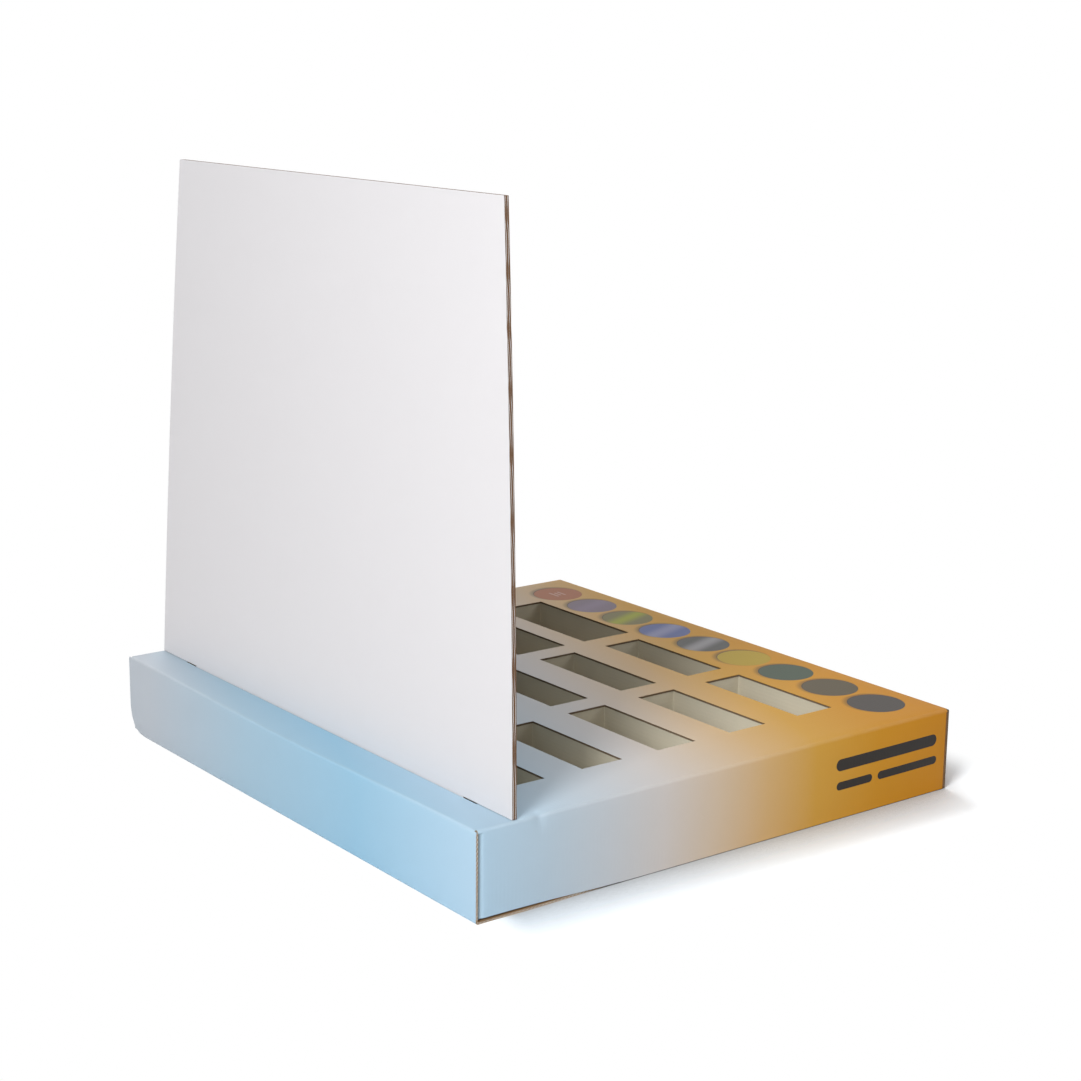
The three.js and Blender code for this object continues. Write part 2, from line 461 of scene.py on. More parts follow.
class Canvas:
    """Short calls for building a node tree."""

    def __init__(self, tree: bpy.types.NodeTree) -> None:
        """Keeps the tree.

        Args:
            tree: The tree that gets the nodes.
        """
        self.tree = tree
        self.tree.nodes.clear()

    def node(
        self, kind: str, inputs: dict[str | int, object] | None = None, **settings: object
    ) -> bpy.types.Node:
        """Adds a node.

        Args:
            kind: The node's type.
            inputs: Sockets by name or number, each with a value or a socket to link.
            **settings: The node's own settings.

        Returns:
            The node.
        """
        made = self.tree.nodes.new(kind)
        for name, value in settings.items():
            setattr(made, name, value)
        for key, value in (inputs or {}).items():
            self.feed(made.inputs[key], value)
        return made

    def feed(self, socket: Socket, value: object) -> None:
        """Links a socket, or sets its value."""
        if isinstance(value, Socket):
            self.tree.links.new(value, socket)
        elif isinstance(value, tuple) and len(value) == 3 and socket.type == "RGBA":
            socket.default_value = (*value, 1.0)
        else:
            socket.default_value = value

    def math(self, operation: str, *values: object, clamp: bool = False) -> Socket:
        """Adds a sum of one to three values and gives its result."""
        made = self.node("ShaderNodeMath", dict(enumerate(values)), operation=operation, use_clamp=clamp)
        return made.outputs[0]

    def rise(self, value: object, low: object, high: object) -> Socket:
        """Rises smoothly from 0 at low to 1 at high, and gives the result."""
        made = self.node(
            "ShaderNodeMapRange",
            {"Value": value, "From Min": low, "From Max": high, "To Min": 0.0, "To Max": 1.0},
            interpolation_type="SMOOTHSTEP",
        )
        return made.outputs["Result"]

    def noise(self, place: Socket, scale: object, detail: float) -> Socket:
        """Adds a noise texture and gives its value."""
        made = self.node("ShaderNodeTexNoise", {"Vector": place, "Scale": scale, "Detail": detail})
        return made.outputs["Fac"]

    def wave(self, place: Socket, pitch: Socket) -> Socket:
        """Runs a sine wave along a length and gives it, from -1 to 1."""
        turns = self.math("DIVIDE", place, pitch)
        return self.math("SINE", self.math("MULTIPLY", turns, 2 * math.pi))

    def distance(self, across: Socket, along: Socket) -> Socket:
        """Gives the distance from the point where both coordinates are 0."""
        square = self.math("POWER", across, 2.0)
        return self.math("SQRT", self.math("MULTIPLY_ADD", along, along, square))

    def axes(self) -> Axes:
        """Reads the object's coordinates, whole and split."""
        place = self.node("ShaderNodeTexCoord").outputs["Object"]
        split = self.node("ShaderNodeSeparateXYZ", {"Vector": place})
        return {"place": place, "x": split.outputs["X"], "y": split.outputs["Y"], "z": split.outputs["Z"]}

    def blend(self, share: object, first: object, second: object, mode: str = "MIX") -> Socket:
        """Mixes two colours and gives the result."""
        made = self.node("ShaderNodeMix", data_type="RGBA", blend_type=mode)
        for socket, value in zip((made.inputs[0], made.inputs[6], made.inputs[7]), (share, first, second)):
            self.feed(socket, value)
        return made.outputs[2]

    def ramp(self, value: object, stops: list[tuple[float, Colour]], steps: bool = False) -> Socket:
        """Reads a colour from a row of stops and gives it."""
        made = self.node("ShaderNodeValToRGB", {"Fac": value})
        made.color_ramp.interpolation = "CONSTANT" if steps else "LINEAR"
        elements = made.color_ramp.elements
        while len(elements) < len(stops):
            elements.new(0.5)
        for element, (place, colour) in zip(elements, stops):
            element.position = place
            element.color = (*colour, 1.0)
        return made.outputs["Color"]

    def group(self, made: bpy.types.NodeTree, inputs: dict[str, object]) -> bpy.types.Node:
        """Places a node group."""
        placed = self.tree.nodes.new("ShaderNodeGroup")
        placed.node_tree = made
        for key, value in inputs.items():
            self.feed(placed.inputs[key], value)
        return placed


SOCKETS = {float: "NodeSocketFloat", Vector: "NodeSocketVector"}


def shader_group(
    name: str, inputs: dict[str, object], outputs: dict[str, type]
) -> tuple[bpy.types.NodeTree, Canvas, bpy.types.Node, bpy.types.Node]:
    """Makes an empty shader group with named sockets.

    Args:
        name: The group's name.
        inputs: Each input's name and default.
        outputs: Each output's name and type.

    Returns:
        The group, its canvas, its input node and its output node.
    """
    tree = bpy.data.node_groups.new(name, "ShaderNodeTree")
    for key, value in inputs.items():
        socket = tree.interface.new_socket(key, in_out="INPUT", socket_type=SOCKETS[type(value)])
        if not isinstance(value, Vector):
            socket.default_value = value
    for key, kind in outputs.items():
        tree.interface.new_socket(key, in_out="OUTPUT", socket_type=SOCKETS[kind])
    canvas = Canvas(tree)
    return tree, canvas, canvas.node("NodeGroupInput"), canvas.node("NodeGroupOutput")


class PaperGroups:
    """The effects that several papers share, each built once as a shader group."""

    def __init__(self) -> None:
        """Builds the groups."""
        self.grain = self._grain()
        self.washboard = self._washboard()
        self.spot = self._spot()
        self.bar = self._bar()

    def _grain(self) -> bpy.types.NodeTree:
        """Mottle of paper: a tone around 1 and a height, both from fine and coarse noise."""
        tree, canvas, given, out = shader_group(
            "paper_grain",
            {"Vector": Vector(), "Fine Scale": 1800.0, "Coarse Scale": 60.0, "Tone Depth": 0.05},
            {"Tone": float, "Height": float},
        )
        coarse_share = 0.6
        fine = canvas.noise(given.outputs["Vector"], given.outputs["Fine Scale"], 3.0)
        coarse = canvas.noise(given.outputs["Vector"], given.outputs["Coarse Scale"], 4.0)
        both = canvas.math("MULTIPLY_ADD", coarse, coarse_share, fine)
        centred = canvas.math("SUBTRACT", both, 0.5 * (1 + coarse_share))
        tone = canvas.math("MULTIPLY_ADD", centred, given.outputs["Tone Depth"], 1.0)
        canvas.feed(out.inputs["Tone"], tone)
        canvas.feed(out.inputs["Height"], fine)
        return tree

    def _washboard(self) -> bpy.types.NodeTree:
        """The faint ribs that flutes print through a liner, along one coordinate."""
        tree, canvas, given, out = shader_group(
            "flute_washboard",
            {"Place": 0.0, "Pitch": 0.0033, "Vector": Vector()},
            {"Rib": float},
        )
        patchy = canvas.noise(given.outputs["Vector"], 22.0, 2.0)
        wave = canvas.wave(given.outputs["Place"], given.outputs["Pitch"])
        canvas.feed(out.inputs["Rib"], canvas.math("MULTIPLY", wave, patchy))
        return tree

    def _spot(self) -> bpy.types.NodeTree:
        """A round spot around a point, 1 inside and 0 outside, with a soft or sharp edge."""
        tree, canvas, given, out = shader_group(
            "round_spot",
            {"Across": 0.0, "Along": 0.0, "Radius": 0.02, "Softness": 0.0002},
            {"Mask": float},
        )
        distance = canvas.distance(given.outputs["Across"], given.outputs["Along"])
        outer = canvas.math("ADD", given.outputs["Radius"], given.outputs["Softness"])
        inner = canvas.math("SUBTRACT", given.outputs["Radius"], given.outputs["Softness"])
        canvas.feed(out.inputs["Mask"], canvas.rise(distance, outer, inner))
        return tree

    def _bar(self) -> bpy.types.NodeTree:
        """A bar with round ends, 1 inside and 0 outside."""
        tree, canvas, given, out = shader_group(
            "round_bar",
            {"Across": 0.0, "Along": 0.0, "Half Length": 0.02, "Half Height": 0.003},
            {"Mask": float},
        )
        straight = canvas.math("SUBTRACT", given.outputs["Half Length"], given.outputs["Half Height"])
        beyond = canvas.math("SUBTRACT", canvas.math("ABSOLUTE", given.outputs["Across"]), straight)
        past = canvas.math("MAXIMUM", beyond, 0.0)
        distance = canvas.distance(past, given.outputs["Along"])
        outside = canvas.math("SUBTRACT", distance, given.outputs["Half Height"])
        softness = 0.1 * MM
        canvas.feed(out.inputs["Mask"], canvas.rise(outside, softness, -softness))
        return tree


@dataclass(frozen=True)
class Disc:
    """One printed colour disc.

    Attributes:
        colour: Its main colour.
        sheen: The colour of its diagonal sheen, a painted highlight of the paper's gloss, which is the main
            colour on a plain disc.
    """

    colour: Colour
    sheen: Colour


@dataclass(frozen=True)
class DiscRow:
    """The row of printed discs along the tray's front.

    Attributes:
        radius: A disc's radius.
        first_x: The first disc's middle, at the far end.
        pitch: Distance between discs.
        setback: Distance of the row from the front edge.
        shadow_shift: How far the printed shadow lies to one side.
        shadow_drop: How far it lies towards the rear.
        shadow_spread: How much wider than the disc it is.
        shadow_softness: Half the width of its soft edge.
        shadow_share: How strongly it covers the fade.
        sheen_slope: The painted sheen's direction, as shares across and along.
        sheen_half: Half the painted sheen's width.
        rim_shift: How far the dark rim shows at one side.
        rim_softness: Half the width of the rim's inner edge.
        edge_softness: Half the width of the disc's own edge.
        discs: The discs, from the far end.
    """

    radius: float = 22.8
    first_x: float = 205.6
    pitch: float = 51.4
    setback: float = 37.1
    shadow_shift: float = 2.2
    shadow_drop: float = 0.7
    shadow_spread: float = 0.6
    shadow_softness: float = 3.2
    shadow_share: float = 0.62
    sheen_slope: tuple[float, float] = (0.95, -0.32)
    sheen_half: float = 13.0
    rim_shift: float = 0.7
    rim_softness: float = 0.5
    edge_softness: float = 0.12
    discs: tuple[Disc, ...] = (
        Disc(linear(168, 108, 78), linear(168, 108, 78)),
        Disc(linear(128, 115, 128), linear(138, 124, 142)),
        Disc(linear(120, 114, 76), linear(160, 164, 52)),
        Disc(linear(100, 110, 156), linear(150, 152, 184)),
        Disc(linear(84, 84, 82), linear(156, 154, 157)),
        Disc(linear(184, 157, 56), linear(184, 157, 56)),
        Disc(linear(70, 82, 68), linear(70, 82, 68)),
        Disc(linear(86, 77, 58), linear(86, 77, 58)),
        Disc(linear(69, 64, 60), linear(69, 64, 60)),
    )


@dataclass(frozen=True)
class TrayPrint:
    """The tray's printed face: a soft fade on the diagonal, the discs, and the bars on one side.

    Attributes:
        slant: How far the fade moves back for each millimetre across.
        start: Fade coordinate of the first stop.
        end: Fade coordinate of the last stop.
        row: The discs.
    """

    slant: float = 0.35
    start: float = -230.0
    end: float = 392.0
    row: DiscRow = DiscRow()

    def stops(self) -> list[tuple[float, Colour]]:
        """The fade's colours, from the front to the rear."""
        places = (
            (-230, linear(202, 134, 22)),
            (-150, linear(205, 144, 34)),
            (-85, linear(209, 159, 66)),
            (-35, linear(212, 175, 121)),
            (15, linear(211, 191, 167)),
            (65, linear(207, 201, 197)),
            (115, linear(196, 202, 208)),
            (170, linear(183, 202, 216)),
            (225, linear(178, 207, 227)),
            (280, linear(150, 193, 218)),
            (335, linear(164, 193, 211)),
            (392, linear(187, 194, 202)),
        )
        span = self.end - self.start
        return [((place - self.start) / span, colour) for place, colour in places]


@dataclass(frozen=True)
class PaperFinish:
    """How the surface of a paper looks.

    Attributes:
        roughness: Its roughness.
        tone_depth: How strongly its grain shows as light and dark.
        bump: Height of its grain, in metres.
        rib_share: How strongly the flutes' ribs show beside the grain.
        bump_strength: How strongly the height shows.
        specular: Strength of its sheen.
    """

    roughness: float
    tone_depth: float
    bump: float
    rib_share: float = 0.0
    bump_strength: float = 0.6
    specular: float = 0.2


TRAY_PRINT = PaperFinish(roughness=0.5, tone_depth=0.035, bump=0.00006, rib_share=0.5)
HEADER_PRINT = PaperFinish(roughness=0.42, tone_depth=0.03, bump=0.00005, rib_share=0.35)
WHITE_LINER = PaperFinish(roughness=0.62, tone_depth=0.012, bump=0.00005, rib_share=0.35)
BROWN_LINER = PaperFinish(roughness=0.78, tone_depth=0.12, bump=0.0001, rib_share=0.4)
RAW_CUT = PaperFinish(roughness=0.9, tone_depth=0.2, bump=0.00015)


class Papers:
    """The materials of the stand, from the printed face to the fluted paper."""

    def __init__(self, tray: "TraySizes") -> None:
        """Builds the shared groups.

        Args:
            tray: The tray's sizes, which place the print.
        """
        self.tray = tray
        self.groups = PaperGroups()

    def _start(self, name: str) -> tuple[bpy.types.Material, Canvas, bpy.types.Node, Axes]:
        """Makes an empty material with a shader, and splits the object's coordinates."""
        material = bpy.data.materials.new(name)
        material.use_nodes = True
        canvas = Canvas(material.node_tree)
        shader = canvas.node("ShaderNodeBsdfPrincipled")
        out = canvas.node("ShaderNodeOutputMaterial")
        canvas.feed(out.inputs["Surface"], shader.outputs["BSDF"])
        return material, canvas, shader, canvas.axes()

    def _paper(
        self,
        canvas: Canvas,
        shader: bpy.types.Node,
        axes: Axes,
        colour: object,
        finish: PaperFinish,
        rib: Socket | None = None,
    ) -> None:
        """Adds the grain, the flutes' ribs and the shader's values to a material.

        Args:
            canvas: The material's canvas.
            shader: Its shader.
            axes: Its coordinates.
            colour: The print or the plain paper's colour.
            finish: How its surface looks.
            rib: Height of the ribs, if they show.
        """
        grain = canvas.group(self.groups.grain, {"Vector": axes["place"], "Tone Depth": finish.tone_depth})
        toned = canvas.blend(1.0, colour, grain.outputs["Tone"], "MULTIPLY")
        height = grain.outputs["Height"]
        if rib is not None:
            height = canvas.math("MULTIPLY_ADD", rib, finish.rib_share, height)
        raised = canvas.node(
            "ShaderNodeBump", {"Height": height, "Distance": finish.bump, "Strength": finish.bump_strength}
        )
        canvas.feed(shader.inputs["Base Color"], toned)
        canvas.feed(shader.inputs["Normal"], raised.outputs["Normal"])
        shader.inputs["Roughness"].default_value = finish.roughness
        shader.inputs["Specular IOR Level"].default_value = finish.specular

    def _rib(self, canvas: Canvas, axes: Axes, along: str) -> Socket:
        """Places the ribs that repeat along one coordinate."""
        placed = canvas.group(self.groups.washboard, {"Place": axes[along], "Vector": axes["place"]})
        return placed.outputs["Rib"]

    def printed_face(self, print_: TrayPrint) -> bpy.types.Material:
        """The tray's outside: fade, discs with a painted sheen on some, bars and paler folds.

        Args:
            print_: What is printed.

        Returns:
            The material.
        """
        material, canvas, shader, axes = self._start("printed_face")
        near_side = -self.tray.half_width
        shifted = canvas.math("SUBTRACT", axes["x"], near_side * MM)
        diagonal = canvas.math("MULTIPLY_ADD", shifted, print_.slant, axes["y"])
        span = (print_.end - print_.start) * MM
        share = canvas.math("DIVIDE", canvas.math("SUBTRACT", diagonal, print_.start * MM), span, clamp=True)
        colour = canvas.ramp(share, print_.stops())
        colour = self._discs(canvas, axes, colour, print_.row)
        colour = self._bars(canvas, axes, colour)
        colour = self._paler_folds(canvas, axes, colour)
        self._paper(canvas, shader, axes, colour, TRAY_PRINT, self._rib(canvas, axes, "y"))
        return material

    def _discs(self, canvas: Canvas, axes: Axes, under: object, row: DiscRow) -> Socket:
        """Prints the discs, each with its printed drop shadow, over the fade, and paints a highlight of the
        paper's gloss on some of them.
        """
        last = len(row.discs) - 1
        pitch = row.pitch * MM
        run = canvas.math("SUBTRACT", row.first_x * MM, axes["x"])
        number = canvas.math("ROUND", canvas.math("DIVIDE", run, pitch))
        number = canvas.math("MINIMUM", canvas.math("MAXIMUM", number, 0.0), float(last))
        across = canvas.math("SUBTRACT", run, canvas.math("MULTIPLY", number, pitch))
        along = canvas.math("ADD", axes["y"], (self.tray.half_depth - row.setback) * MM)
        top = canvas.rise(axes["z"], (self.tray.height - 3.0) * MM, (self.tray.height - 2.5) * MM)
        shift = canvas.math("ADD", across, row.shadow_shift * MM)
        lift = canvas.math("SUBTRACT", along, row.shadow_drop * MM)
        soft = self._spot(canvas, shift, lift, row.radius + row.shadow_spread, row.shadow_softness)
        soft = canvas.math("MULTIPLY", canvas.math("MULTIPLY", soft, row.shadow_share), top)
        shaded = canvas.blend(soft, under, linear(60, 50, 38))
        slot = canvas.math("DIVIDE", canvas.math("ADD", number, 0.5), float(last + 1))
        plain = [(i / (last + 1), d.colour) for i, d in enumerate(row.discs)]
        # Painted highlight: the paper's gloss, painted as a lighter diagonal stripe on the discs that have
        # one.
        painted_sheen_stops = [(i / (last + 1), d.sheen) for i, d in enumerate(row.discs)]
        slope = canvas.math("MULTIPLY", along, row.sheen_slope[1])
        slanted = canvas.math("MULTIPLY_ADD", across, row.sheen_slope[0], slope)
        painted_sheen_share = canvas.rise(canvas.math("ABSOLUTE", slanted), row.sheen_half * MM, 0.0)
        colour = canvas.blend(painted_sheen_share, canvas.ramp(slot, plain, True), canvas.ramp(slot, painted_sheen_stops, True))
        colour = self._code_bars(canvas, across, along, number, colour)
        rim = canvas.math("ADD", across, -row.rim_shift * MM)
        edge = self._spot(canvas, rim, along, row.radius - 0.1, row.rim_softness)
        colour = canvas.blend(edge, linear(58, 50, 44), colour)
        disc = self._spot(canvas, across, along, row.radius, row.edge_softness)
        face = canvas.math("MULTIPLY", disc, top)
        return canvas.blend(face, shaded, colour)

    def _code_bars(
        self, canvas: Canvas, across: object, along: object, number: object, under: object
    ) -> Socket:
        """Prints three small pale bars on the first disc, in place of its code."""
        first = canvas.math("LESS_THAN", number, 0.5)
        colour = under
        for level, half_length in ((-4.4, 6.5), (0.0, 5.0), (4.4, 7.5)):
            placed = canvas.group(
                self.groups.bar,
                {
                    "Across": across,
                    "Along": canvas.math("SUBTRACT", along, level * MM),
                    "Half Length": half_length * MM,
                    "Half Height": 1.1 * MM,
                },
            )
            share = canvas.math("MULTIPLY", placed.outputs["Mask"], first)
            colour = canvas.blend(canvas.math("MULTIPLY", share, 0.6), colour, linear(214, 190, 180))
        return colour

    def _spot(
        self, canvas: Canvas, across: object, along: object, radius: float, softness: float
    ) -> Socket:
        """Places a round spot and gives its mask."""
        placed = canvas.group(
            self.groups.spot,
            {"Across": across, "Along": along, "Radius": radius * MM, "Softness": softness * MM},
        )
        return placed.outputs["Mask"]

    def _bars(self, canvas: Canvas, axes: Axes, under: object) -> Socket:
        """Prints plain bars where a side panel has its two lines of words."""
        side = canvas.rise(axes["x"], -(self.tray.half_width - 4.0) * MM, -(self.tray.half_width - 3.0) * MM)
        colour = under
        for bar in self.tray.bars:
            placed = canvas.group(
                self.groups.bar,
                {
                    "Across": canvas.math("SUBTRACT", axes["y"], bar.middle * MM),
                    "Along": canvas.math("SUBTRACT", axes["z"], bar.level * MM),
                    "Half Length": bar.length / 2 * MM,
                    "Half Height": bar.height / 2 * MM,
                },
            )
            share = canvas.math("MULTIPLY", placed.outputs["Mask"], side)
            colour = canvas.blend(share, colour, linear(44, 40, 37))
        return colour

    def _paler_folds(self, canvas: Canvas, axes: Axes, under: object) -> Socket:
        """Lightens the print in a thin, patchy line along the top folds."""
        tray = self.tray
        high = canvas.rise(axes["z"], (tray.height - 3.4) * MM, (tray.height - 0.6) * MM)
        outward = canvas.math(
            "MAXIMUM",
            canvas.math("SUBTRACT", canvas.math("ABSOLUTE", axes["x"]), (tray.half_width - 3.2) * MM),
            canvas.math("SUBTRACT", canvas.math("ABSOLUTE", axes["y"]), (tray.half_depth - 2.4) * MM),
        )
        rim = canvas.rise(outward, -0.0002, 0.0012)
        patchy = canvas.noise(axes["place"], 35.0, 3.0)
        share = canvas.math("MULTIPLY", canvas.math("MULTIPLY", high, rim), patchy)
        return canvas.blend(canvas.math("MULTIPLY", share, 0.14), under, linear(236, 234, 228))

    def plain_liner(self, name: str, colour: Colour, along: str) -> bpy.types.Material:
        """Unprinted liner with the flutes' ribs showing through.

        Args:
            name: The material's name.
            colour: The paper's colour.
            along: The axis along which the ribs repeat.

        Returns:
            The material.
        """
        material, canvas, shader, axes = self._start(name)
        rib = self._rib(canvas, axes, along)
        tone = canvas.math("MULTIPLY_ADD", rib, 0.015, 1.0)
        ribbed = canvas.blend(1.0, colour, tone, "MULTIPLY")
        self._paper(canvas, shader, axes, ribbed, BROWN_LINER, rib)
        return material

    def white_back(self) -> bpy.types.Material:
        """The header's unprinted white back."""
        material, canvas, shader, axes = self._start("white_back")
        rib = self._rib(canvas, axes, "x")
        self._paper(canvas, shader, axes, linear(221, 219, 221), WHITE_LINER, rib)
        return material

    def header_front(self, low: float, high: float) -> bpy.types.Material:
        """The header's front: the tray's fade again, from the foot to the top.

        Args:
            low: Height of the foot.
            high: Height of the top.

        Returns:
            The material.
        """
        material, canvas, shader, axes = self._start("header_front")
        above = canvas.math("SUBTRACT", axes["z"], low * MM)
        share = canvas.math("DIVIDE", above, (high - low) * MM, clamp=True)
        colour = canvas.ramp(
            share,
            [
                (0.0, linear(182, 203, 216)),
                (0.3, linear(160, 195, 219)),
                (0.55, linear(203, 200, 198)),
                (0.75, linear(210, 180, 142)),
                (1.0, linear(204, 148, 58)),
            ],
        )
        self._paper(canvas, shader, axes, colour, HEADER_PRINT, self._rib(canvas, axes, "x"))
        return material

    def brown_paper(self, name: str, colour: Colour) -> bpy.types.Material:
        """Raw brown paper at a cut edge.

        Args:
            name: The material's name.
            colour: The paper's colour.

        Returns:
            The material.
        """
        material, canvas, shader, axes = self._start(name)
        fibre = canvas.noise(axes["place"], 900.0, 4.0)
        tone = canvas.math("MULTIPLY_ADD", fibre, 0.5, 0.75)
        mottled = canvas.blend(1.0, colour, tone, "MULTIPLY")
        self._paper(canvas, shader, axes, mottled, RAW_CUT)
        return material


class FluteTree:
    """A Geometry Nodes tree that runs a ribbon of fluted paper along a cut edge."""

    def __init__(self, material: bpy.types.Material) -> None:
        """Builds the tree.

        Args:
            material: The ribbon's paper.
        """
        self.tree = bpy.data.node_groups.new("fluted_edge", "GeometryNodeTree")
        self.sockets = self._interface()
        self._build(material)

    def _interface(self) -> dict[str, str]:
        """Makes the named inputs and gives each one's identifier."""
        face = self.tree.interface
        face.new_socket("Geometry", in_out="INPUT", socket_type="NodeSocketGeometry")
        sizes = {
            "Pitch": 0.0033,
            "Wave Height": 0.0011,
            "Middle Depth": 0.0008,
            "Set Back": 0.0001,
            "Reach": 0.0005,
            "Paper": 0.00016,
            "Step": 0.0006,
        }
        found = {}
        for name, value in sizes.items():
            socket = face.new_socket(name, in_out="INPUT", socket_type="NodeSocketFloat")
            socket.default_value = value
            found[name] = socket.identifier
        face.new_socket("Geometry", in_out="OUTPUT", socket_type="NodeSocketGeometry")
        return found

    def _build(self, material: bpy.types.Material) -> None:
        """Adds the nodes, from the edge's line to the closed ribbon."""
        canvas = Canvas(self.tree)
        given = canvas.node("NodeGroupInput")
        out = canvas.node("NodeGroupOutput")
        curve = canvas.node("GeometryNodeMeshToCurve", {"Mesh": given.outputs["Geometry"]})
        fine = canvas.node("GeometryNodeResampleCurve", {"Curve": curve.outputs["Curve"]}, mode="LENGTH")
        canvas.feed(fine.inputs["Length"], given.outputs["Step"])
        place = self._attribute(canvas, "flute_place", "FLOAT")
        normal = self._attribute(canvas, "board_normal", "FLOAT_VECTOR")
        inward = self._attribute(canvas, "board_inward", "FLOAT_VECTOR")
        wave = canvas.wave(place, given.outputs["Pitch"])
        swing = canvas.math("SUBTRACT", given.outputs["Wave Height"], given.outputs["Paper"])
        half = canvas.math("MULTIPLY", swing, 0.5)
        depth = canvas.math("MULTIPLY_ADD", wave, half, given.outputs["Middle Depth"])
        down = self._scaled(canvas, normal, canvas.math("MULTIPLY", depth, -1.0))
        in_ = self._scaled(canvas, inward, given.outputs["Set Back"])
        both = canvas.node("ShaderNodeVectorMath", {0: down, 1: in_}, operation="ADD")
        line = canvas.node("GeometryNodeSetPosition", {"Geometry": fine.outputs["Curve"]})
        canvas.feed(line.inputs["Offset"], both.outputs["Vector"])
        wire = canvas.node("GeometryNodeCurveToMesh", {"Curve": line.outputs["Geometry"]})
        reach = self._scaled(canvas, inward, given.outputs["Reach"])
        ribbon = canvas.node("GeometryNodeExtrudeMesh", {"Mesh": wire.outputs["Mesh"]}, mode="EDGES")
        canvas.feed(ribbon.inputs["Offset"], reach)
        canvas.feed(ribbon.inputs["Offset Scale"], 1.0)
        thick = canvas.node("GeometryNodeExtrudeMesh", {"Mesh": ribbon.outputs["Mesh"]}, mode="FACES")
        canvas.feed(thick.inputs["Offset Scale"], given.outputs["Paper"])
        canvas.feed(thick.inputs["Individual"], False)
        under = canvas.node("GeometryNodeFlipFaces", {"Mesh": ribbon.outputs["Mesh"]})
        joined = canvas.node("GeometryNodeJoinGeometry")
        self.tree.links.new(thick.outputs["Mesh"], joined.inputs[0])
        self.tree.links.new(under.outputs["Mesh"], joined.inputs[0])
        closed = canvas.node("GeometryNodeMergeByDistance", {"Geometry": joined.outputs["Geometry"]})
        weld = 0.001 * MM
        canvas.feed(closed.inputs["Distance"], weld)
        real = canvas.node("GeometryNodeRealizeInstances", {"Geometry": closed.outputs["Geometry"]})
        dressed = canvas.node("GeometryNodeSetMaterial", {"Geometry": real.outputs["Geometry"]})
        dressed.inputs["Material"].default_value = material
        canvas.feed(out.inputs["Geometry"], dressed.outputs["Geometry"])

    @staticmethod
    def _attribute(canvas: Canvas, name: str, kind: str) -> Socket:
        """Reads a named attribute of the edge's line."""
        made = canvas.node("GeometryNodeInputNamedAttribute", {"Name": name}, data_type=kind)
        return made.outputs["Attribute"]

    @staticmethod
    def _scaled(canvas: Canvas, vector: object, scale: object) -> Socket:
        """Scales a vector."""
        made = canvas.node("ShaderNodeVectorMath", {0: vector}, operation="SCALE")
        canvas.feed(made.inputs["Scale"], scale)
        return made.outputs["Vector"]


class FlutedEdges:
    """Collects the cut edges of a board and makes their fluted paper."""

    short_of_recess = 0.08
    least_reach = 0.06

    def __init__(self, tree: FluteTree) -> None:
        """Keeps the tree.

        Args:
            tree: The Geometry Nodes tree that makes the ribbons.
        """
        self.tree = tree

    def make(
        self, name: str, sheet: Sheet, board: Board, shown: Callable[[np.ndarray], bool]
    ) -> bpy.types.Object:
        """Makes the ribbons of one board as one plain mesh.

        Args:
            name: The piece's name.
            sheet: The board's outer face.
            board: The make of board.
            shown: Says whether an edge at a point is seen and gets its flutes.

        Returns:
            The piece.
        """
        line = self._line(name, sheet, shown)
        parts = [self._ribbon(line, board, top, low) for top, low in board.channels()]
        bpy.data.objects.remove(line)
        return self._joined(name, parts)

    @staticmethod
    def _line(name: str, sheet: Sheet, shown: Callable[[np.ndarray], bool]) -> bpy.types.Object:
        """Makes the line of the seen cut edges, with the board's directions on its points."""
        points, edges, normals, inwards, places = [], [], [], [], []
        for loop in sheet.rims():
            ends = [sheet.points[i] for i in (*loop[1:], loop[0])]
            middles = [(sheet.points[i] + end) / 2 for i, end in zip(loop, ends)]
            seen = [i for i, middle in enumerate(middles) if shown(middle)]
            if not seen:
                continue
            first = len(points)
            edges.extend((first + i, first + (i + 1) % len(loop)) for i in seen)
            for i, way in zip(loop, sheet.inward(loop)):
                points.append(tuple(sheet.points[i] * MM))
                normals.append(tuple(sheet.normals[i]))
                inwards.append(tuple(way))
                places.append(sheet.flutes[i] * MM)
        mesh = bpy.data.meshes.new(name + "_line")
        mesh.from_pydata(points, edges, [])
        for title, vectors in (("board_normal", normals), ("board_inward", inwards)):
            flat = [c for v in vectors for c in v]
            mesh.attributes.new(title, "FLOAT_VECTOR", "POINT").data.foreach_set("vector", flat)
        mesh.attributes.new("flute_place", "FLOAT", "POINT").data.foreach_set("value", places)
        line = bpy.data.objects.new(name + "_line", mesh)
        bpy.context.scene.collection.objects.link(line)
        return line

    def _ribbon(self, line: bpy.types.Object, board: Board, top: float, low: float) -> bpy.types.Mesh:
        """Runs the tree on a line for one ply and gives the plain mesh."""
        sizes = {
            "Pitch": board.pitch,
            "Wave Height": low - top,
            "Middle Depth": (low + top) / 2,
            "Reach": max(board.edge_recess - self.short_of_recess, self.least_reach),
            "Paper": board.paper,
        }
        modifier = line.modifiers.new("flutes", "NODES")
        modifier.node_group = self.tree.tree
        for key, value in sizes.items():
            modifier[self.tree.sockets[key]] = value * MM
        shown = line.evaluated_get(bpy.context.evaluated_depsgraph_get())
        mesh = bpy.data.meshes.new_from_object(shown)
        line.modifiers.remove(modifier)
        return mesh

    @staticmethod
    def _joined(name: str, parts: list[bpy.types.Mesh]) -> bpy.types.Object:
        """Joins the ribbons to one object."""
        points: list[np.ndarray] = []
        faces: list[tuple[int, ...]] = []
        total = 0
        for part in parts:
            flat = np.zeros(len(part.vertices) * 3, np.float32)
            part.vertices.foreach_get("co", flat)
            points.append(flat.reshape(-1, 3))
            faces.extend(tuple(total + i for i in face.vertices) for face in part.polygons)
            total += len(part.vertices)
        mesh = bpy.data.meshes.new(name)
        mesh.from_pydata(np.concatenate(points).tolist(), [], faces)
        mesh.materials.append(parts[0].materials[0])
        mesh.update()
        piece = bpy.data.objects.new(name, mesh)
        bpy.context.scene.collection.objects.link(piece)
        return piece


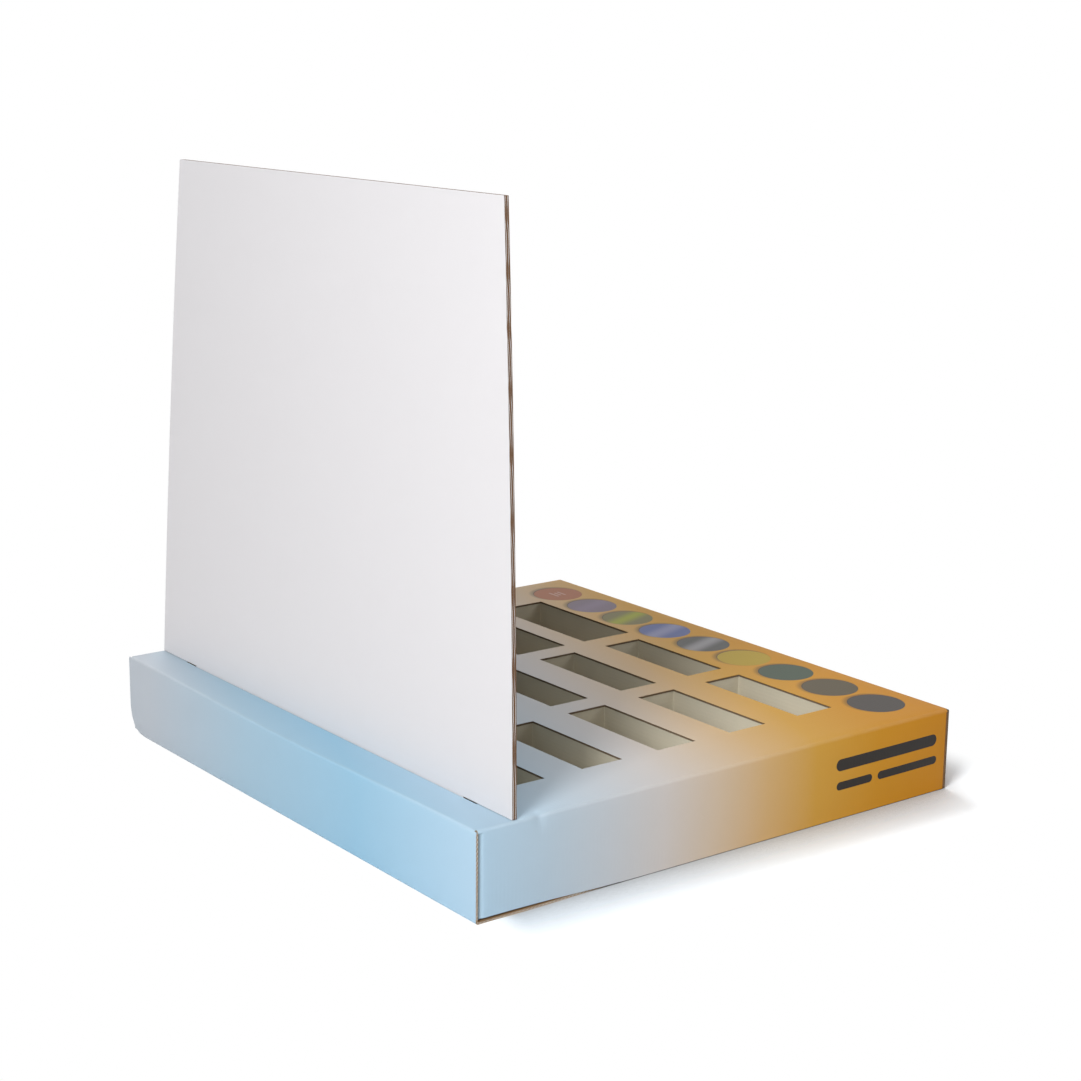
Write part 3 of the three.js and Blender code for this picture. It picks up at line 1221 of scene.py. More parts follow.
@dataclass(frozen=True)
class Bar:
    """A printed bar in place of a word.

    Attributes:
        middle: Its middle along the depth.
        level: Its height above the floor.
        length: Its length.
        height: Its own height.
    """

    middle: float
    level: float
    length: float
    height: float


@dataclass(frozen=True)
class Window:
    """A window or slot in the tray's top, with the node of the piece that stands in it.

    Attributes:
        node: That piece's node.
        x: Its middle across.
        y: Its middle along the depth.
        width: Its width.
        depth: Its depth.
    """

    node: str
    x: float
    y: float
    width: float
    depth: float

    def holds(self, x: float, y: float) -> bool:
        """Says whether a point of the top lies in the window."""
        return abs(x - self.x) < self.width / 2 and abs(y - self.y) < self.depth / 2


@dataclass(frozen=True)
class Wear:
    """How the tray has bowed, sagged and been knocked.

    Attributes:
        rear_bow: How far the rear edge bows out at its middle.
        rear_sag: How far the top sinks there.
        sag_reach: How far from the rear the bow and the sag reach.
        side_swell: How far the side panels swell at half height.
        swell_reach: Length at both ends over which the swelling grows.
        closing: Depths between which the side panels close on the bottom.
        bottom_tuck: How far the bottom's edges stand in where they are closed.
        tuck_reach: Length at the front over which the bottom's edges come in.
        side_drop: How far the side panels' feet come down where they are closed.
        side_lift: How far they rise at the rear.
        lifting: Depths between which they rise.
        dent_y: Depth of the dent in the near top fold.
        dent_lines: Distances from the dent at which the faces are divided.
        dent_spread: The dent's reach across and along.
        dent_in: How far the dent goes in.
        dent_down: How far it goes down.
        crush_reach: Size of the crushed bottom corner.
        crush: How far that corner has moved.
    """

    rear_bow: float = 1.8
    rear_sag: float = 2.0
    sag_reach: float = 30.0
    side_swell: float = 0.7
    swell_reach: float = 60.0
    closing: tuple[float, float] = (185.0, 80.0)
    bottom_tuck: float = 2.9
    tuck_reach: float = 12.0
    side_drop: float = 1.7
    side_lift: float = 1.0
    lifting: tuple[float, float] = (110.0, 215.0)
    dent_y: float = 175.0
    dent_lines: tuple[float, ...] = (-4.0, -1.5, 1.5, 4.0)
    dent_spread: tuple[float, float] = (3.0, 3.5)
    dent_in: float = 1.3
    dent_down: float = 1.7
    crush_reach: float = 20.0
    crush: tuple[float, float, float] = (-4.4, -1.2, 2.4)


@dataclass(frozen=True)
class TraySizes:
    """The tray's sizes, which the frame gives, and those of its flaps and print.

    Attributes:
        half_width: Half the width, which the frame gives.
        half_depth: Half the depth, which the frame gives.
        height: The height, which the frame gives.
        windows: The windows, from the sleeves' boxes.
        slot: The slot for the header.
        board: The make of board.
        wear: How it has been bent and knocked.
        fold: Outer radius of a fold.
        gap: Clearance between panels that touch.
        side_inset: How far the side panels stand in from the raw edges.
        side_foot: Height of a side panel's lower edge.
        tuck: Height of the tuck flap.
        dust_flap: Length of a dust flap.
        rear_corner_fold: Outer radius of the slack fold between a side panel and a rear dust flap.
        front_corner_fold: Outer radius of the tight fold between a side panel and a front dust flap.
        front_width_inset: How far the front panel's ends stand in from the other raw edges.
        painted_shade_front: How far from the front the cut edges take the darker cut colour, which is
            painted shade for the shaded edges there.
        bars: The printed bars.
    """

    half_width: float
    half_depth: float
    height: float
    windows: tuple[Window, ...]
    slot: Window
    board: Board = Board()
    wear: Wear = Wear()
    fold: float = 2.2
    gap: float = 0.3
    side_inset: float = 0.8
    side_foot: float = 2.2
    tuck: float = 42.0
    dust_flap: float = 60.0
    rear_corner_fold: float = 6.0
    front_corner_fold: float = 1.9
    front_width_inset: float = 1.1
    painted_shade_front: float = 5.0
    bars: tuple[Bar, ...] = (
        Bar(-160.2, 43.5, 110.0, 9.4),
        Bar(-125.2, 26.8, 38.0, 6.6),
        Bar(-183.2, 26.8, 66.0, 6.6),
    )

    @property
    def side_face(self) -> float:
        """Distance of a side panel's face from the middle."""
        return self.half_width - self.side_inset

    @property
    def flap_face(self) -> float:
        """Distance of the dust flaps' faces from the middle."""
        return self.half_depth - self.board.ply - self.gap

    @property
    def tuck_face(self) -> float:
        """Distance of the tuck flap's face from the middle, behind the dust flaps."""
        return self.flap_face - self.board.ply - self.gap

    @property
    def tuck_half(self) -> float:
        """Half the tuck flap's width, which fits between the side panels."""
        return self.side_face - self.board.ply - self.gap


def dress(piece: bpy.types.Object, *papers: bpy.types.Material) -> None:
    """Gives a piece its papers, in the order of Finish."""
    for paper in papers:
        piece.data.materials.append(paper)


def node_box(node: str) -> tuple[Vector, Vector]:
    """A node's lowest and highest corners in millimetres."""
    low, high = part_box(node)
    return low / MM, high / MM


@dataclass(frozen=True)
class SleeveSizes:
    """What the sleeves have in common.

    Attributes:
        lip: How far the top's windows stand in from the sleeves' walls.
        gap: Clearance between the glue tab and the wall under it.
        fold: Outer radius of a fold.
        tab: Length of the glue tab.
        bow: How far the long walls bow in.
        bow_height: Height over which they bow.
        bow_margin: How far past the window the bow ends.
        rows: Rows of faces between bottom and top.
        grid: Widest gap between lines along the strip.
    """

    lip: float = 0.5
    gap: float = 0.3
    fold: float = 2.2
    tab: float = 15.0
    bow: float = 0.5
    bow_height: float = 66.0
    bow_margin: float = 4.0
    rows: int = 6
    grid: float = 14.0


def read_tray() -> TraySizes:
    """Reads the tray's sizes from the frame.

    Returns:
        The sizes.
    """
    high = node_box("outer_box")[1]
    board, sleeve = Board(), SleeveSizes()
    wall = board.ply + sleeve.lip
    lap = board.ply + sleeve.gap
    slot_setback, slot_length, slot_width = 33.0, 414.0, 4.5
    windows = []
    for row in range(1, 6):
        for column in range(1, 4):
            node = f"sleeve_r{row}_c{column}"
            near, far = node_box(node)
            left, right = near.x + wall, far.x - wall - lap
            front, rear = near.y + wall, far.y - wall
            windows.append(Window(node, (left + right) / 2, (front + rear) / 2, right - left, rear - front))
    return TraySizes(
        half_width=high.x,
        half_depth=high.y,
        height=high.z,
        windows=tuple(windows),
        slot=Window("header_board", 0.0, high.y - slot_setback, slot_length, slot_width),
    )


class Lengthwise(Enum):
    """Places of the profile's straights and folds in its list of stretches."""

    TUCK_FOLD = 1
    REAR_FOLD = 5
    TOP = 6
    FRONT_FOLD = 7


class Crosswise(Enum):
    """Places of the folds between the top and the sides in the crossing's list of stretches."""

    NEAR_FOLD = 1
    FAR_FOLD = 3


class Tray:
    """The printed outer box, cut from one blank and folded."""

    grid = 11.0
    side_grid = 9.0

    def __init__(self, sizes: TraySizes, papers: Papers, flutes: FlutedEdges) -> None:
        """Keeps what the tray is made from.

        Args:
            sizes: Its sizes.
            papers: The materials.
            flutes: Makes the cut edges' fluted paper.
        """
        self.sizes = sizes
        self.papers = papers
        self.flutes = flutes
        s = sizes
        self.profile = FoldPath(
            (
                (-s.tuck_face, s.tuck),
                (-s.tuck_face, 0.0),
                (s.half_depth, 0.0),
                (s.half_depth, s.height),
                (-s.half_depth, s.height),
                (-s.half_depth, s.gap),
            ),
            s.fold,
            -1,
        )
        self.top_middle = self.profile.stretches()[Lengthwise.TOP.value][0] + s.half_depth - s.fold
        self.crossing = FoldPath(
            (
                (-s.side_face, s.side_foot),
                (-s.side_face, s.height),
                (s.side_face, s.height),
                (s.side_face, s.side_foot),
            ),
            s.fold,
            1,
        )

    def sheet(self) -> Sheet:
        """Cuts and folds the blank.

        Returns:
            The outer face, with its bows and dents.
        """
        sheet = Sheet()
        self._full_width_panels(sheet)
        for side in (-1, 1):
            self._side_panel(sheet, side)
        sheet.moved(self._settled)
        return sheet

    def _openings(self) -> list[Window]:
        """All that is cut out of the top panel."""
        return [*self.sizes.windows, self.sizes.slot]

    def _run_at(self, y: float) -> float:
        """Length along the profile at a depth of the top panel."""
        return self.top_middle - y

    def _edge_depths(self) -> set[float]:
        """Depths of the openings' front and rear edges."""
        return {w.y + d * w.depth / 2 for w in self._openings() for d in (-1, 1)}

    def _full_width_panels(self, sheet: Sheet) -> None:
        """Adds the tuck flap, bottom, rear, top and front, which the profile runs through."""
        s = self.sizes
        stretches = self.profile.stretches()
        top_low, top_high = stretches[Lengthwise.TOP.value][:2]
        flat = s.side_face - s.fold
        edges = {w.x + d * w.width / 2 for w in self._openings() for d in (-1, 1)}
        across = merged({-flat, flat, *edges, *self._filled(sorted({-flat, flat, *edges}))})
        tuck_end = stretches[Lengthwise.TUCK_FOLD.value][1]
        rows = {self._run_at(y) for y in self._edge_depths()}
        dent = (self._run_at(s.wear.dent_y) + d for d in s.wear.dent_lines)
        along = self.profile.lines(self.grid, (*rows, *dent))

        def place(x: float, run: float) -> Placed:
            (y, z), (ny, nz) = self.profile.at(run)
            return (x, y, z), (0.0, ny, nz)

        def flute(_: float, run: float) -> float:
            return run

        def cut(x: float, run: float) -> bool:
            y = self.profile.at(run)[0][0]
            return top_low < run < top_high and any(w.holds(x, y) for w in self._openings())

        sheet.add_patch(across, along, place, flute, cut)
        tuck = [r for r in along if r <= tuck_end + NEAR]
        rear_fold = stretches[Lengthwise.REAR_FOLD.value]
        front_fold = stretches[Lengthwise.FRONT_FOLD.value]
        body = [r for r in along if tuck_end - NEAR <= r <= (rear_fold[0] + rear_fold[1]) / 2 + NEAR]
        front = [r for r in along if r >= (front_fold[0] + front_fold[1]) / 2 - NEAR]
        front_half = s.half_width - s.front_width_inset
        for side in (-1, 1):
            for width, runs in ((s.tuck_half, tuck), (s.half_width, body), (front_half, front)):
                sheet.add_patch(sorted((side * flat, side * width)), runs, place, flute)

    def _filled(self, marks: list[float]) -> list[float]:
        """Adds lines between marks that lie far apart."""
        more = []
        for a, b in zip(marks, marks[1:]):
            count = max(1, math.ceil((b - a) / self.grid))
            more.extend(a + (b - a) * i / count for i in range(1, count))
        return more

    def _side_panel(self, sheet: Sheet, side: int) -> None:
        """Adds a side panel, its fold from the top, the fold's short ends and its two dust flaps."""
        s = self.sizes
        top_low = self.profile.stretches()[Lengthwise.TOP.value][0]
        whole = self.profile.lines(self.grid, tuple(self._run_at(y) for y in self._edge_depths()))
        rear = s.flap_face - s.rear_corner_fold
        front = s.front_corner_fold - s.flap_face
        dent = {s.wear.dent_y + d for d in s.wear.dent_lines}
        ys = {self.profile.at(r)[0][0] for r in whole if r > top_low} | dent
        along = merged({front, rear, *(y for y in ys if front < y < rear)})
        runs = self.crossing.lines(self.side_grid)
        fold = Crosswise.NEAR_FOLD if side < 0 else Crosswise.FAR_FOLD
        fold_start, fold_end = self.crossing.stretches()[fold.value][:2]
        runs = [r for r in runs if (r <= fold_end + NEAR if side < 0 else r >= fold_start - NEAR)]

        def place(run: float, y: float) -> Placed:
            (x, z), (nx, nz) = self.crossing.at(run)
            return (x, y, z), (nx, 0.0, nz)

        def flute(_: float, y: float) -> float:
            return self._run_at(y)

        sheet.add_patch(runs, along, place, flute)
        shortest = 0.1
        fold_runs = [r for r in runs if fold_start - NEAR <= r <= fold_end + NEAR]
        for low, high in ((rear, s.half_depth - s.fold), (s.fold - s.half_depth, front)):
            if high - low > shortest:
                sheet.add_patch(fold_runs, [low, high], place, flute)
        for end, radius in ((1, s.rear_corner_fold), (-1, s.front_corner_fold)):
            self._dust_flap(sheet, side, end, radius, runs)

    def _dust_flap(self, sheet: Sheet, side: int, end: int, fold: float, runs: list[float]) -> None:
        """Adds one dust flap, which turns in from a side panel's end."""
        s = self.sizes
        lead, trim = 1.0, 0.1
        corner = (side * s.side_face, end * s.flap_face)
        start = (side * s.side_face, end * (s.flap_face - fold - lead))
        tip = (side * (s.side_face - s.dust_flap), end * s.flap_face)
        path = FoldPath((start, corner, tip), fold, 1 if side * end < 0 else -1)
        ceiling = s.height - s.board.ply - s.gap
        heights = [self.crossing.at(r)[0][1] for r in runs]
        levels = merged({z for z in heights if z < ceiling} | {ceiling - trim})
        fold_start = path.stretches()[1][0]
        along = [r for r in path.lines(self.grid) if r >= fold_start - NEAR]

        def place(run: float, z: float) -> Placed:
            (x, y), (nx, ny) = path.at(run)
            return (x, y, z), (nx, ny, 0.0)

        def flute(run: float, _: float) -> float:
            return run

        sheet.add_patch(along, levels, place, flute)

    def _settled(self, point: np.ndarray) -> np.ndarray:
        """Bows, presses and dents the tray as handled board is.

        Args:
            point: A point of the folded blank.

        Returns:
            Its place after handling.
        """
        s, wear = self.sizes, self.sizes.wear
        x, y, z = point
        lift = z / s.height
        middle = math.cos(math.pi * x / (2 * s.half_width)) ** 2
        rear = smooth(s.half_depth - wear.sag_reach, s.half_depth, y)
        moved = point.copy()
        moved[1] += wear.rear_bow * middle * rear * lift
        moved[2] -= wear.rear_sag * middle * rear * lift
        if abs(x) > s.side_face - 0.5:
            pillow = math.sin(math.pi * min(max(lift, 0.0), 1.0))
            ends = smooth(s.half_depth, s.half_depth - wear.swell_reach, abs(y))
            moved[0] += math.copysign(wear.side_swell, x) * pillow * ends
        closes = smooth(*wear.closing, y)
        on_bottom = z < 1.0
        if on_bottom and abs(x) > s.half_width - 0.5 and abs(y) < s.half_depth - 1:
            front = smooth(-s.half_depth, -s.half_depth + wear.tuck_reach, y)
            moved[0] -= math.copysign(wear.bottom_tuck, x) * closes * front
        at_foot = 1.7 < z < s.side_foot + 0.5
        if at_foot and abs(x) > s.side_face - 1:
            moved[2] += wear.side_lift * smooth(*wear.lifting, y) - wear.side_drop * closes
        on_top = z > s.height - 4
        if on_top and x < 0:
            across, along = abs(x) - s.half_width, y - wear.dent_y
            spread_x, spread_y = wear.dent_spread
            dent = math.exp(-((along / spread_y) ** 2) - ((across / spread_x) ** 2))
            moved[0] += wear.dent_in * dent
            moved[2] -= wear.dent_down * dent
        corner = (s.half_width, s.half_depth, 0.0)
        moved += np.array(wear.crush) * smooth(wear.crush_reach, 0, math.dist((x, y, z), corner))
        return moved

    def build(self) -> list[bpy.types.Object]:
        """Builds the tray and its cut edges.

        Returns:
            The pieces.
        """
        s = self.sizes
        sheet = self.sheet()
        front_end = s.painted_shade_front - s.half_depth

        def is_window(middle: np.ndarray) -> bool:
            close = 3
            x, y = middle[:2]
            return any(abs(x - w.x) < close and abs(y - w.y) < close for w in self._openings())

        def shown(point: np.ndarray) -> bool:
            at_foot = s.side_foot - 2.0 < point[2] < s.side_foot + 1
            return abs(point[0]) > s.half_width - 4 and not at_foot and point[1] > front_end

        tray = Solid("tray", sheet, s.board).build(is_window, lambda p: p[1] < front_end)
        dress(
            tray,
            self.papers.printed_face(TrayPrint()),
            self.papers.plain_liner("inner_liner", linear(152, 120, 88), "y"),
            self.papers.brown_paper("cut_edge", linear(176, 152, 122)),
            # Darker brown: painted shade for the window and front cut edges, which lie in shade.
            self.papers.brown_paper("painted_shade_cut", linear(124, 106, 86)),
        )
        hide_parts("outer_box")
        edges = self.flutes.make("tray_flutes", sheet, s.board, shown)
        return [tray, edges]


class Sleeve:
    """A pocket's walls: a strip folded into a tube, with its glue tab outside."""

    def __init__(self, window: Window, board: Board) -> None:
        """Keeps what the sleeve is made from.

        Args:
            window: The window above it.
            board: The make of board.
        """
        self.window = window
        self.board = board
        self.sizes = SleeveSizes()

    def build(self, wall: bpy.types.Material, cut: bpy.types.Material) -> bpy.types.Object:
        """Builds the sleeve.

        Args:
            wall: Material of both faces.
            cut: Material of the cut edges.

        Returns:
            The piece.
        """
        low, high = node_box(self.window.node)
        s = self.sizes
        lap = self.board.ply + s.gap
        left, right = low.x, high.x - lap
        path = FoldPath(
            (
                (right, high.y - s.fold),
                (right, low.y),
                (left, low.y),
                (left, high.y),
                (right + lap, high.y),
                (right + lap, high.y - s.fold - s.tab),
            ),
            s.fold,
            1,
        )
        sheet = Sheet()
        levels = [low.z + (high.z - low.z) * i / s.rows for i in range(s.rows + 1)]

        def place(run: float, z: float) -> Placed:
            (x, y), (nx, ny) = path.at(run)
            return (x, y, z), (nx, ny, 0.0)

        sheet.add_patch(path.lines(s.grid), levels, place, lambda _, z: z)
        sheet.moved(self._bowed)
        piece = Solid("pocket_" + self.window.node, sheet, self.board).build()
        dress(piece, wall, wall, cut, cut)
        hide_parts(self.window.node)
        return piece

    def _bowed(self, point: np.ndarray) -> np.ndarray:
        """Lets the long walls bow in a little between top and bottom."""
        s, window = self.sizes, self.window
        across = (point[0] - window.x) / (window.width / 2 + s.bow_margin)
        up = min(max(point[2] / s.bow_height, 0.0), 1.0)
        share = max(0.0, 1 - across * across) * math.sin(math.pi * up)
        moved = point.copy()
        moved[1] -= math.copysign(s.bow, point[1] - window.y) * share
        return moved


HEADER_BROWN = linear(112, 85, 64)


@dataclass(frozen=True)
class HeaderSizes:
    """The header board's sizes.

    Attributes:
        half_width: Half its width at the shoulders.
        taper: How much narrower each side is at the top.
        bulge: How far the sides stand out at half height.
        height: Height above the shoulders, along the board.
        tab_half: Half the tab's width.
        tab_depth: How far the tab reaches down.
        lean: Its lean towards the front, in radians.
        back: Place of its back face at the shoulders.
        foot: Height of the shoulders.
        board: The make of board.
        bow: How far its middle bows to the rear at half height.
        knock_x: Where its near edge is knocked in.
        knock_up: Height of that place above the shoulders.
        knock_lines: Heights near it at which the faces are divided.
        knock_spread: The knock's reach across and up.
        knock_in: How far it goes in.
        knock_front: How far it goes towards the front.
    """

    half_width: float
    height: float
    back: float
    foot: float
    board: Board = Board(ply=1.8, plies=2, liner=0.3, paper=0.3, edge_recess=0.12)
    taper: float = 30.0
    bulge: float = 2.3
    tab_half: float = 191.0
    tab_depth: float = 52.4
    lean: float = math.radians(1.6)
    bow: float = 1.2
    knock_x: float = -222.0
    knock_up: float = 329.0
    knock_lines: tuple[float, ...] = (323.0, 328.0, 333.0, 338.0)
    knock_spread: tuple[float, float] = (6.0, 7.0)
    knock_in: float = 1.2
    knock_front: float = 0.5


class Header:
    """The tall board that stands in the tray's slot."""

    def __init__(self, sizes: HeaderSizes, papers: Papers, flutes: FlutedEdges) -> None:
        """Keeps what the header is made from.

        Args:
            sizes: Its sizes.
            papers: The materials.
            flutes: Makes the cut edges' fluted paper.
        """
        self.sizes = sizes
        self.papers = papers
        self.flutes = flutes

    def _half_at(self, up: float) -> float:
        """Half the board's width at a height above the shoulders."""
        s = self.sizes
        share = up / s.height
        bulge = 4 * s.bulge * share * (1 - share)
        return s.half_width - s.taper * share + bulge

    def _placed(self, x: float, up: float) -> Placed:
        """Leans a point of the flat board."""
        s = self.sizes
        sin, cos = math.sin(s.lean), math.cos(s.lean)
        return (x, s.back - up * sin, s.foot + up * cos), (0.0, cos, sin)

    def sheet(self) -> Sheet:
        """The back face, with its small dents and bow."""
        s = self.sizes
        sheet = Sheet()
        columns, rows, tab_rows, closest = 24, 40, 5, 0.012
        tab_share = s.tab_half / s.half_width
        shares = sorted({-tab_share, tab_share, *(i / columns for i in range(-columns, columns + 1))})
        shares = [u for u in shares if abs(abs(u) - tab_share) > closest or abs(u) == tab_share]
        levels = sorted({s.height * i / rows for i in range(rows + 1)} | set(s.knock_lines))

        def place(share: float, up: float) -> Placed:
            return self._placed(share * self._half_at(up), up)

        sheet.add_patch(shares, levels, place, lambda u, up: u * self._half_at(up))
        tab = [u for u in shares if abs(u) <= tab_share + NEAR]
        depths = [-s.tab_depth * i / tab_rows for i in range(tab_rows + 1)]

        def place_tab(share: float, up: float) -> Placed:
            return self._placed(share * s.half_width, up)

        sheet.add_patch(tab, depths, place_tab, lambda u, _: u * s.half_width)
        sheet.moved(self._handled)
        return sheet

    def _handled(self, point: np.ndarray) -> np.ndarray:
        """Bows the board a little and knocks in its near edge below the top."""
        s = self.sizes
        moved = point.copy()
        up = (point[2] - s.foot) / s.height
        if up > 0:
            across = math.cos(math.pi * point[0] / (2 * s.half_width))
            moved[1] += s.bow * across * math.sin(math.pi * min(up, 1.0))
        spread_x, spread_up = s.knock_spread
        aside, above = point[0] - s.knock_x, point[2] - s.foot - s.knock_up
        knock = math.exp(-((above / spread_up) ** 2) - (aside / spread_x) ** 2)
        moved[0] += s.knock_in * knock
        moved[1] -= s.knock_front * knock
        return moved

    def build(self) -> list[bpy.types.Object]:
        """Builds the header and its cut edges.

        Returns:
            The pieces.
        """
        s = self.sizes
        sheet = self.sheet()
        header = Solid("header", sheet, s.board).build()
        back = self.papers.white_back()
        front = self.papers.header_front(s.foot, s.foot + s.height)
        brown = self.papers.brown_paper("header_cut", HEADER_BROWN)
        dress(header, back, front, brown, brown)
        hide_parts("header_board")
        edges = self.flutes.make("header_flutes", sheet, s.board, lambda p: p[2] > s.foot - 1)
        return [header, edges]


def read_header() -> HeaderSizes:
    """Reads the header's sizes from the frame.

    Returns:
        The sizes.
    """
    high = node_box("header_board")[1]
    tray_top = node_box("outer_box")[1].z
    lean = HeaderSizes.lean
    gap = TraySizes.gap
    foot = tray_top + gap + HeaderSizes.board.thickness * math.sin(lean)
    height = (high.z - foot) / math.cos(lean)
    back = high.y - HeaderSizes.tab_depth * math.sin(lean)
    return HeaderSizes(half_width=high.x, height=height, back=back, foot=foot)


@dataclass(frozen=True)
class Lamp:
    """A soft square lamp that looks at the stand's middle.

    Attributes:
        name: The lamp's name.
        place: Its place in metres.
        size: Its side in metres.
        power: Its power in watts.
    """

    name: str
    place: tuple[float, float, float]
    size: float
    power: float

    def build(self) -> None:
        """Adds the lamp."""
        data = bpy.data.lights.new(self.name, "AREA")
        data.shape = "SQUARE"
        data.size = self.size
        data.energy = self.power
        lamp = bpy.data.objects.new(self.name, data)
        lamp.location = self.place
        stand_middle = Vector((0.0, 0.0, 0.15))
        aim = stand_middle - Vector(self.place)
        lamp.rotation_euler = aim.to_track_quat("-Z", "Y").to_euler()
        bpy.context.scene.collection.objects.link(lamp)


@dataclass(frozen=True)
class Studio:
    """The floor, the lamps, the sky and the camera, in metres.

    Attributes:
        lamps: The lamps.
        sky: Strength of the sky's light.
        shadow_reach: How far from the stand the floor keeps its shadow, which is the lamps' shadow with
            painted shade over it.
        floor_gain: How bright the lit floor is to the camera.
        floor_tint: Its colour to the camera.
        floor_half: Half the floor's width.
        painted_shade_distance: How far from a wall the floor takes painted shade from an ambient occlusion
            node.
        painted_shade_power: How steeply that painted shade grows towards the wall.
        painted_shade_rear_fade: Depths between which the painted shade fades out towards the rear, where the
            low light from the rear falls.
    """

    lamps: tuple[Lamp, ...] = (
        Lamp("key", (-1.45, 2.8, 2.3), 1.1, 84.0),
        Lamp("low_key", (-1.1, 1.2, 0.9), 0.8, 11.0),
        Lamp("far_side", (1.2, -0.3, 1.55), 1.0, 13.5),
        Lamp("front_fill", (-1.4, -1.2, 1.2), 1.0, 7.0),
    )
    sky: float = 0.03
    shadow_reach: float = 0.08
    floor_gain: float = 1.72
    floor_tint: Colour = (0.955, 0.995, 1.03)
    floor_half: float = 6.0
    painted_shade_distance: float = 0.07
    painted_shade_power: float = 1.6
    painted_shade_rear_fade: tuple[float, float] = (0.17, 0.235)

    def build(self) -> None:
        """Builds them all."""
        bpy.context.scene.view_settings.view_transform = "Standard"
        self._floor()
        self._sky()
        for lamp in self.lamps:
            lamp.build()
        self._camera()

    def _floor(self) -> None:
        """A pale floor that is white to the camera, but for the stand's soft shadow: the lamps' shadow with
        painted shade from ambient occlusion over it.
        """
        mesh = bpy.data.meshes.new("floor")
        half = self.floor_half
        points = [(-half, -half, 0), (half, -half, 0), (half, half, 0), (-half, half, 0)]
        mesh.from_pydata(points, [], [(0, 1, 2, 3)])
        floor = bpy.data.objects.new("floor", mesh)
        bpy.context.scene.collection.objects.link(floor)
        material = bpy.data.materials.new("floor_white")
        material.use_nodes = True
        canvas = Canvas(material.node_tree)
        plain = canvas.node("ShaderNodeBsdfDiffuse", {"Color": (0.8, 0.8, 0.8, 1.0)})
        # Painted shade: ambient occlusion darkens the floor's colour near the stand's walls, and fades out
        # at the rear.
        blocked = canvas.node("ShaderNodeAmbientOcclusion", {"Distance": self.painted_shade_distance}, samples=8)
        dark = canvas.math("POWER", blocked.outputs["AO"], self.painted_shade_power)
        axes = canvas.axes()
        painted_shade_off_at_rear = canvas.rise(axes["y"], *self.painted_shade_rear_fade)
        open_ = canvas.math("MAXIMUM", dark, painted_shade_off_at_rear)
        tone = canvas.math("MULTIPLY", open_, self.floor_gain)
        colour = canvas.blend(1.0, self.floor_tint, tone, "MULTIPLY")
        shaded = canvas.node("ShaderNodeBsdfDiffuse", {"Color": colour})
        white = canvas.node("ShaderNodeEmission", {"Color": WHITE, "Strength": 1.0})
        near = self._near_stand(canvas, axes)
        shown = canvas.node("ShaderNodeMixShader", {0: near, 1: white.outputs[0], 2: shaded.outputs[0]})
        seen = self._seen_directly(canvas)
        mixed = canvas.node("ShaderNodeMixShader", {0: seen, 1: plain.outputs[0], 2: shown.outputs[0]})
        out = canvas.node("ShaderNodeOutputMaterial")
        canvas.feed(out.inputs["Surface"], mixed.outputs[0])
        mesh.materials.append(material)
        floor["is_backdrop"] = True

    def _near_stand(self, canvas: Canvas, axes: Axes) -> Socket:
        """Gives 1 close to the near side and the front, falling to 0 past the reach of the shadow."""
        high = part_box("outer_box")[1]
        full_share, past_rear, before_rear, far_fade = 0.4, 0.006, 0.03, 0.02
        across = canvas.math("SUBTRACT", canvas.math("ABSOLUTE", axes["x"]), high.x)
        along = canvas.math("SUBTRACT", canvas.math("ABSOLUTE", axes["y"]), high.y)
        distance = canvas.math("MAXIMUM", across, along)
        close = canvas.rise(distance, self.shadow_reach, full_share * self.shadow_reach)
        ahead = canvas.rise(axes["y"], high.y + past_rear, high.y - before_rear)
        near = canvas.rise(axes["x"], high.x + far_fade, high.x - far_fade)
        return canvas.math("MULTIPLY", close, canvas.math("MULTIPLY", ahead, near))

    @staticmethod
    def _seen_directly(canvas: Canvas) -> Socket:
        """Gives 1 for what the camera sees, also by way of a reflection."""
        path = canvas.node("ShaderNodeLightPath")
        return canvas.math("ADD", path.outputs["Is Camera Ray"], path.outputs["Is Glossy Ray"], clamp=True)

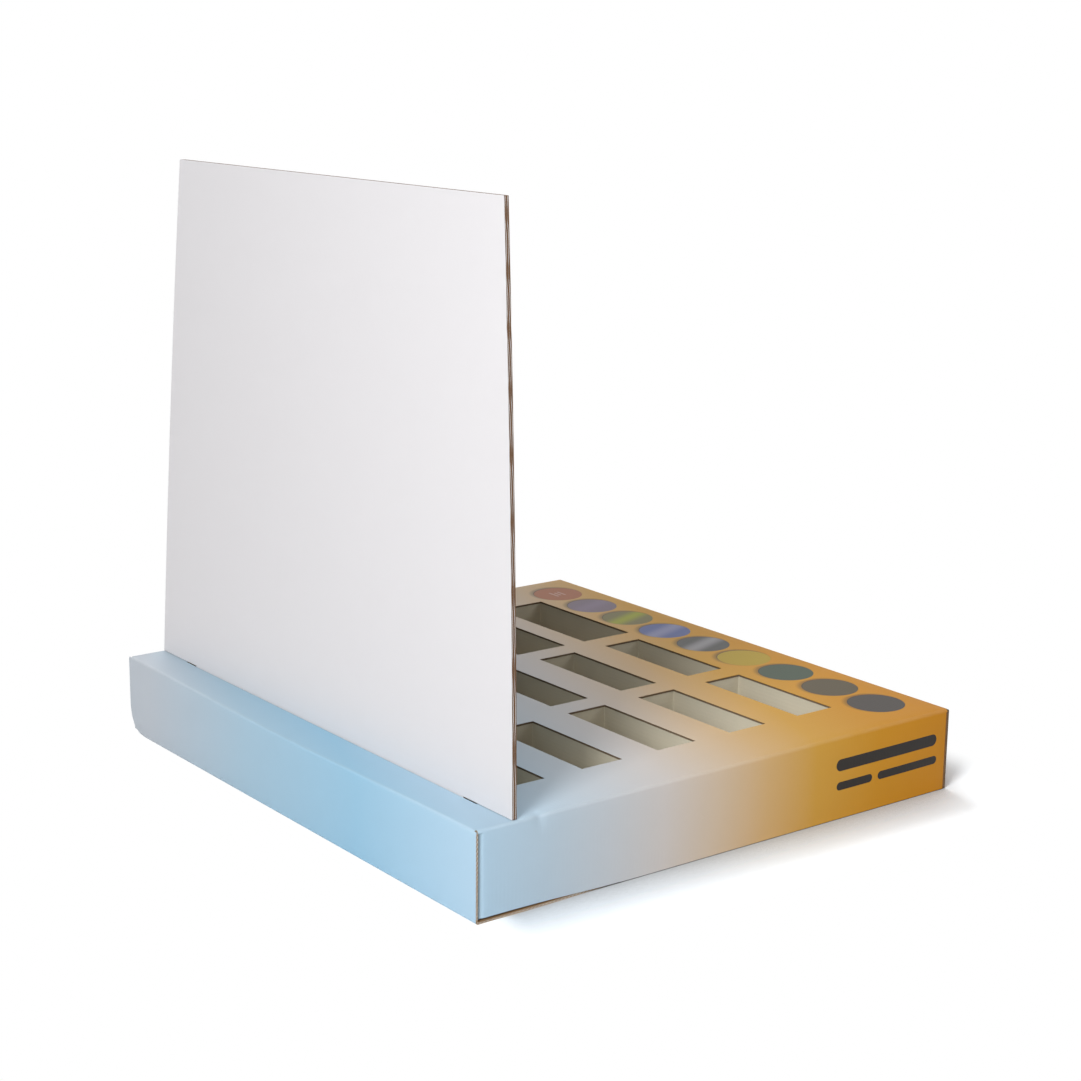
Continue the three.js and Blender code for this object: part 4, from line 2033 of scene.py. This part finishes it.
    def _sky(self) -> None:
        """White behind the stand, and a faint pale light on it."""
        world = bpy.data.worlds.new("studio")
        bpy.context.scene.world = world
        world.use_nodes = True
        canvas = Canvas(world.node_tree)
        seen = self._seen_directly(canvas)
        light = canvas.node("ShaderNodeBackground", {"Color": WHITE, "Strength": self.sky})
        white = canvas.node("ShaderNodeBackground", {"Color": WHITE, "Strength": 1.0})
        mixed = canvas.node("ShaderNodeMixShader", {0: seen, 1: light.outputs[0], 2: white.outputs[0]})
        out = canvas.node("ShaderNodeOutputWorld")
        canvas.feed(out.inputs["Surface"], mixed.outputs[0])

    @staticmethod
    def _camera() -> None:
        """The camera of the photograph, from a fit of the tray's and the header's corners."""
        data = bpy.data.cameras.new("camera")
        data.sensor_width = 36.0
        data.lens = 71.37
        camera = bpy.data.objects.new("camera", data)
        right = Vector((-0.60529, -0.79593, 0.01126))
        up = Vector((0.19033, -0.13098, 0.97295))
        back = Vector((-0.77292, 0.59105, 0.23077))
        turned = Matrix((right, up, back)).transposed().to_4x4()
        camera.matrix_world = Matrix.Translation(Vector((-1.3293, 1.0033, 0.5787))) @ turned
        bpy.context.scene.collection.objects.link(camera)
        bpy.context.scene.camera = camera


class Stand:
    """The whole display stand, built piece by piece on the frame."""

    def __init__(self) -> None:
        """Reads the frame's sizes and builds the materials."""
        self.tray_sizes = read_tray()
        self.papers = Papers(self.tray_sizes)
        flute_paper = self.papers.brown_paper("flute_paper", linear(168, 138, 106))
        self.flutes = FlutedEdges(FluteTree(flute_paper))
        header_paper = self.papers.brown_paper("header_flute_paper", HEADER_BROWN)
        self.header_flutes = FlutedEdges(FluteTree(header_paper))

    def build(self) -> None:
        """Builds every piece and lets it ride on the frame's body."""
        pieces = Tray(self.tray_sizes, self.papers, self.flutes).build()
        wall = self.papers.plain_liner("pocket_wall", linear(214, 206, 185), "z")
        cut = self.papers.brown_paper("pocket_cut", linear(150, 128, 100))
        for window in self.tray_sizes.windows:
            pieces.append(Sleeve(window, self.tray_sizes.board).build(wall, cut))
        pieces.extend(Header(read_header(), self.papers, self.header_flutes).build())
        for piece in pieces:
            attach(piece, BODY)
            LOG.info("%s: %d faces", piece.name, len(piece.data.polygons))


def corners() -> list[list[float]]:
    """The shown model's lowest and highest corners as plain lists."""
    return [list(corner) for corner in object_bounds()]


def main() -> None:
    """Loads the frame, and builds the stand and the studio."""
    logging.basicConfig(level=logging.INFO, format="%(name)s %(message)s")
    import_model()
    Stand().build()
    Studio().build()
    bpy.context.view_layer.update()


if __name__ == "__main__":
    main()
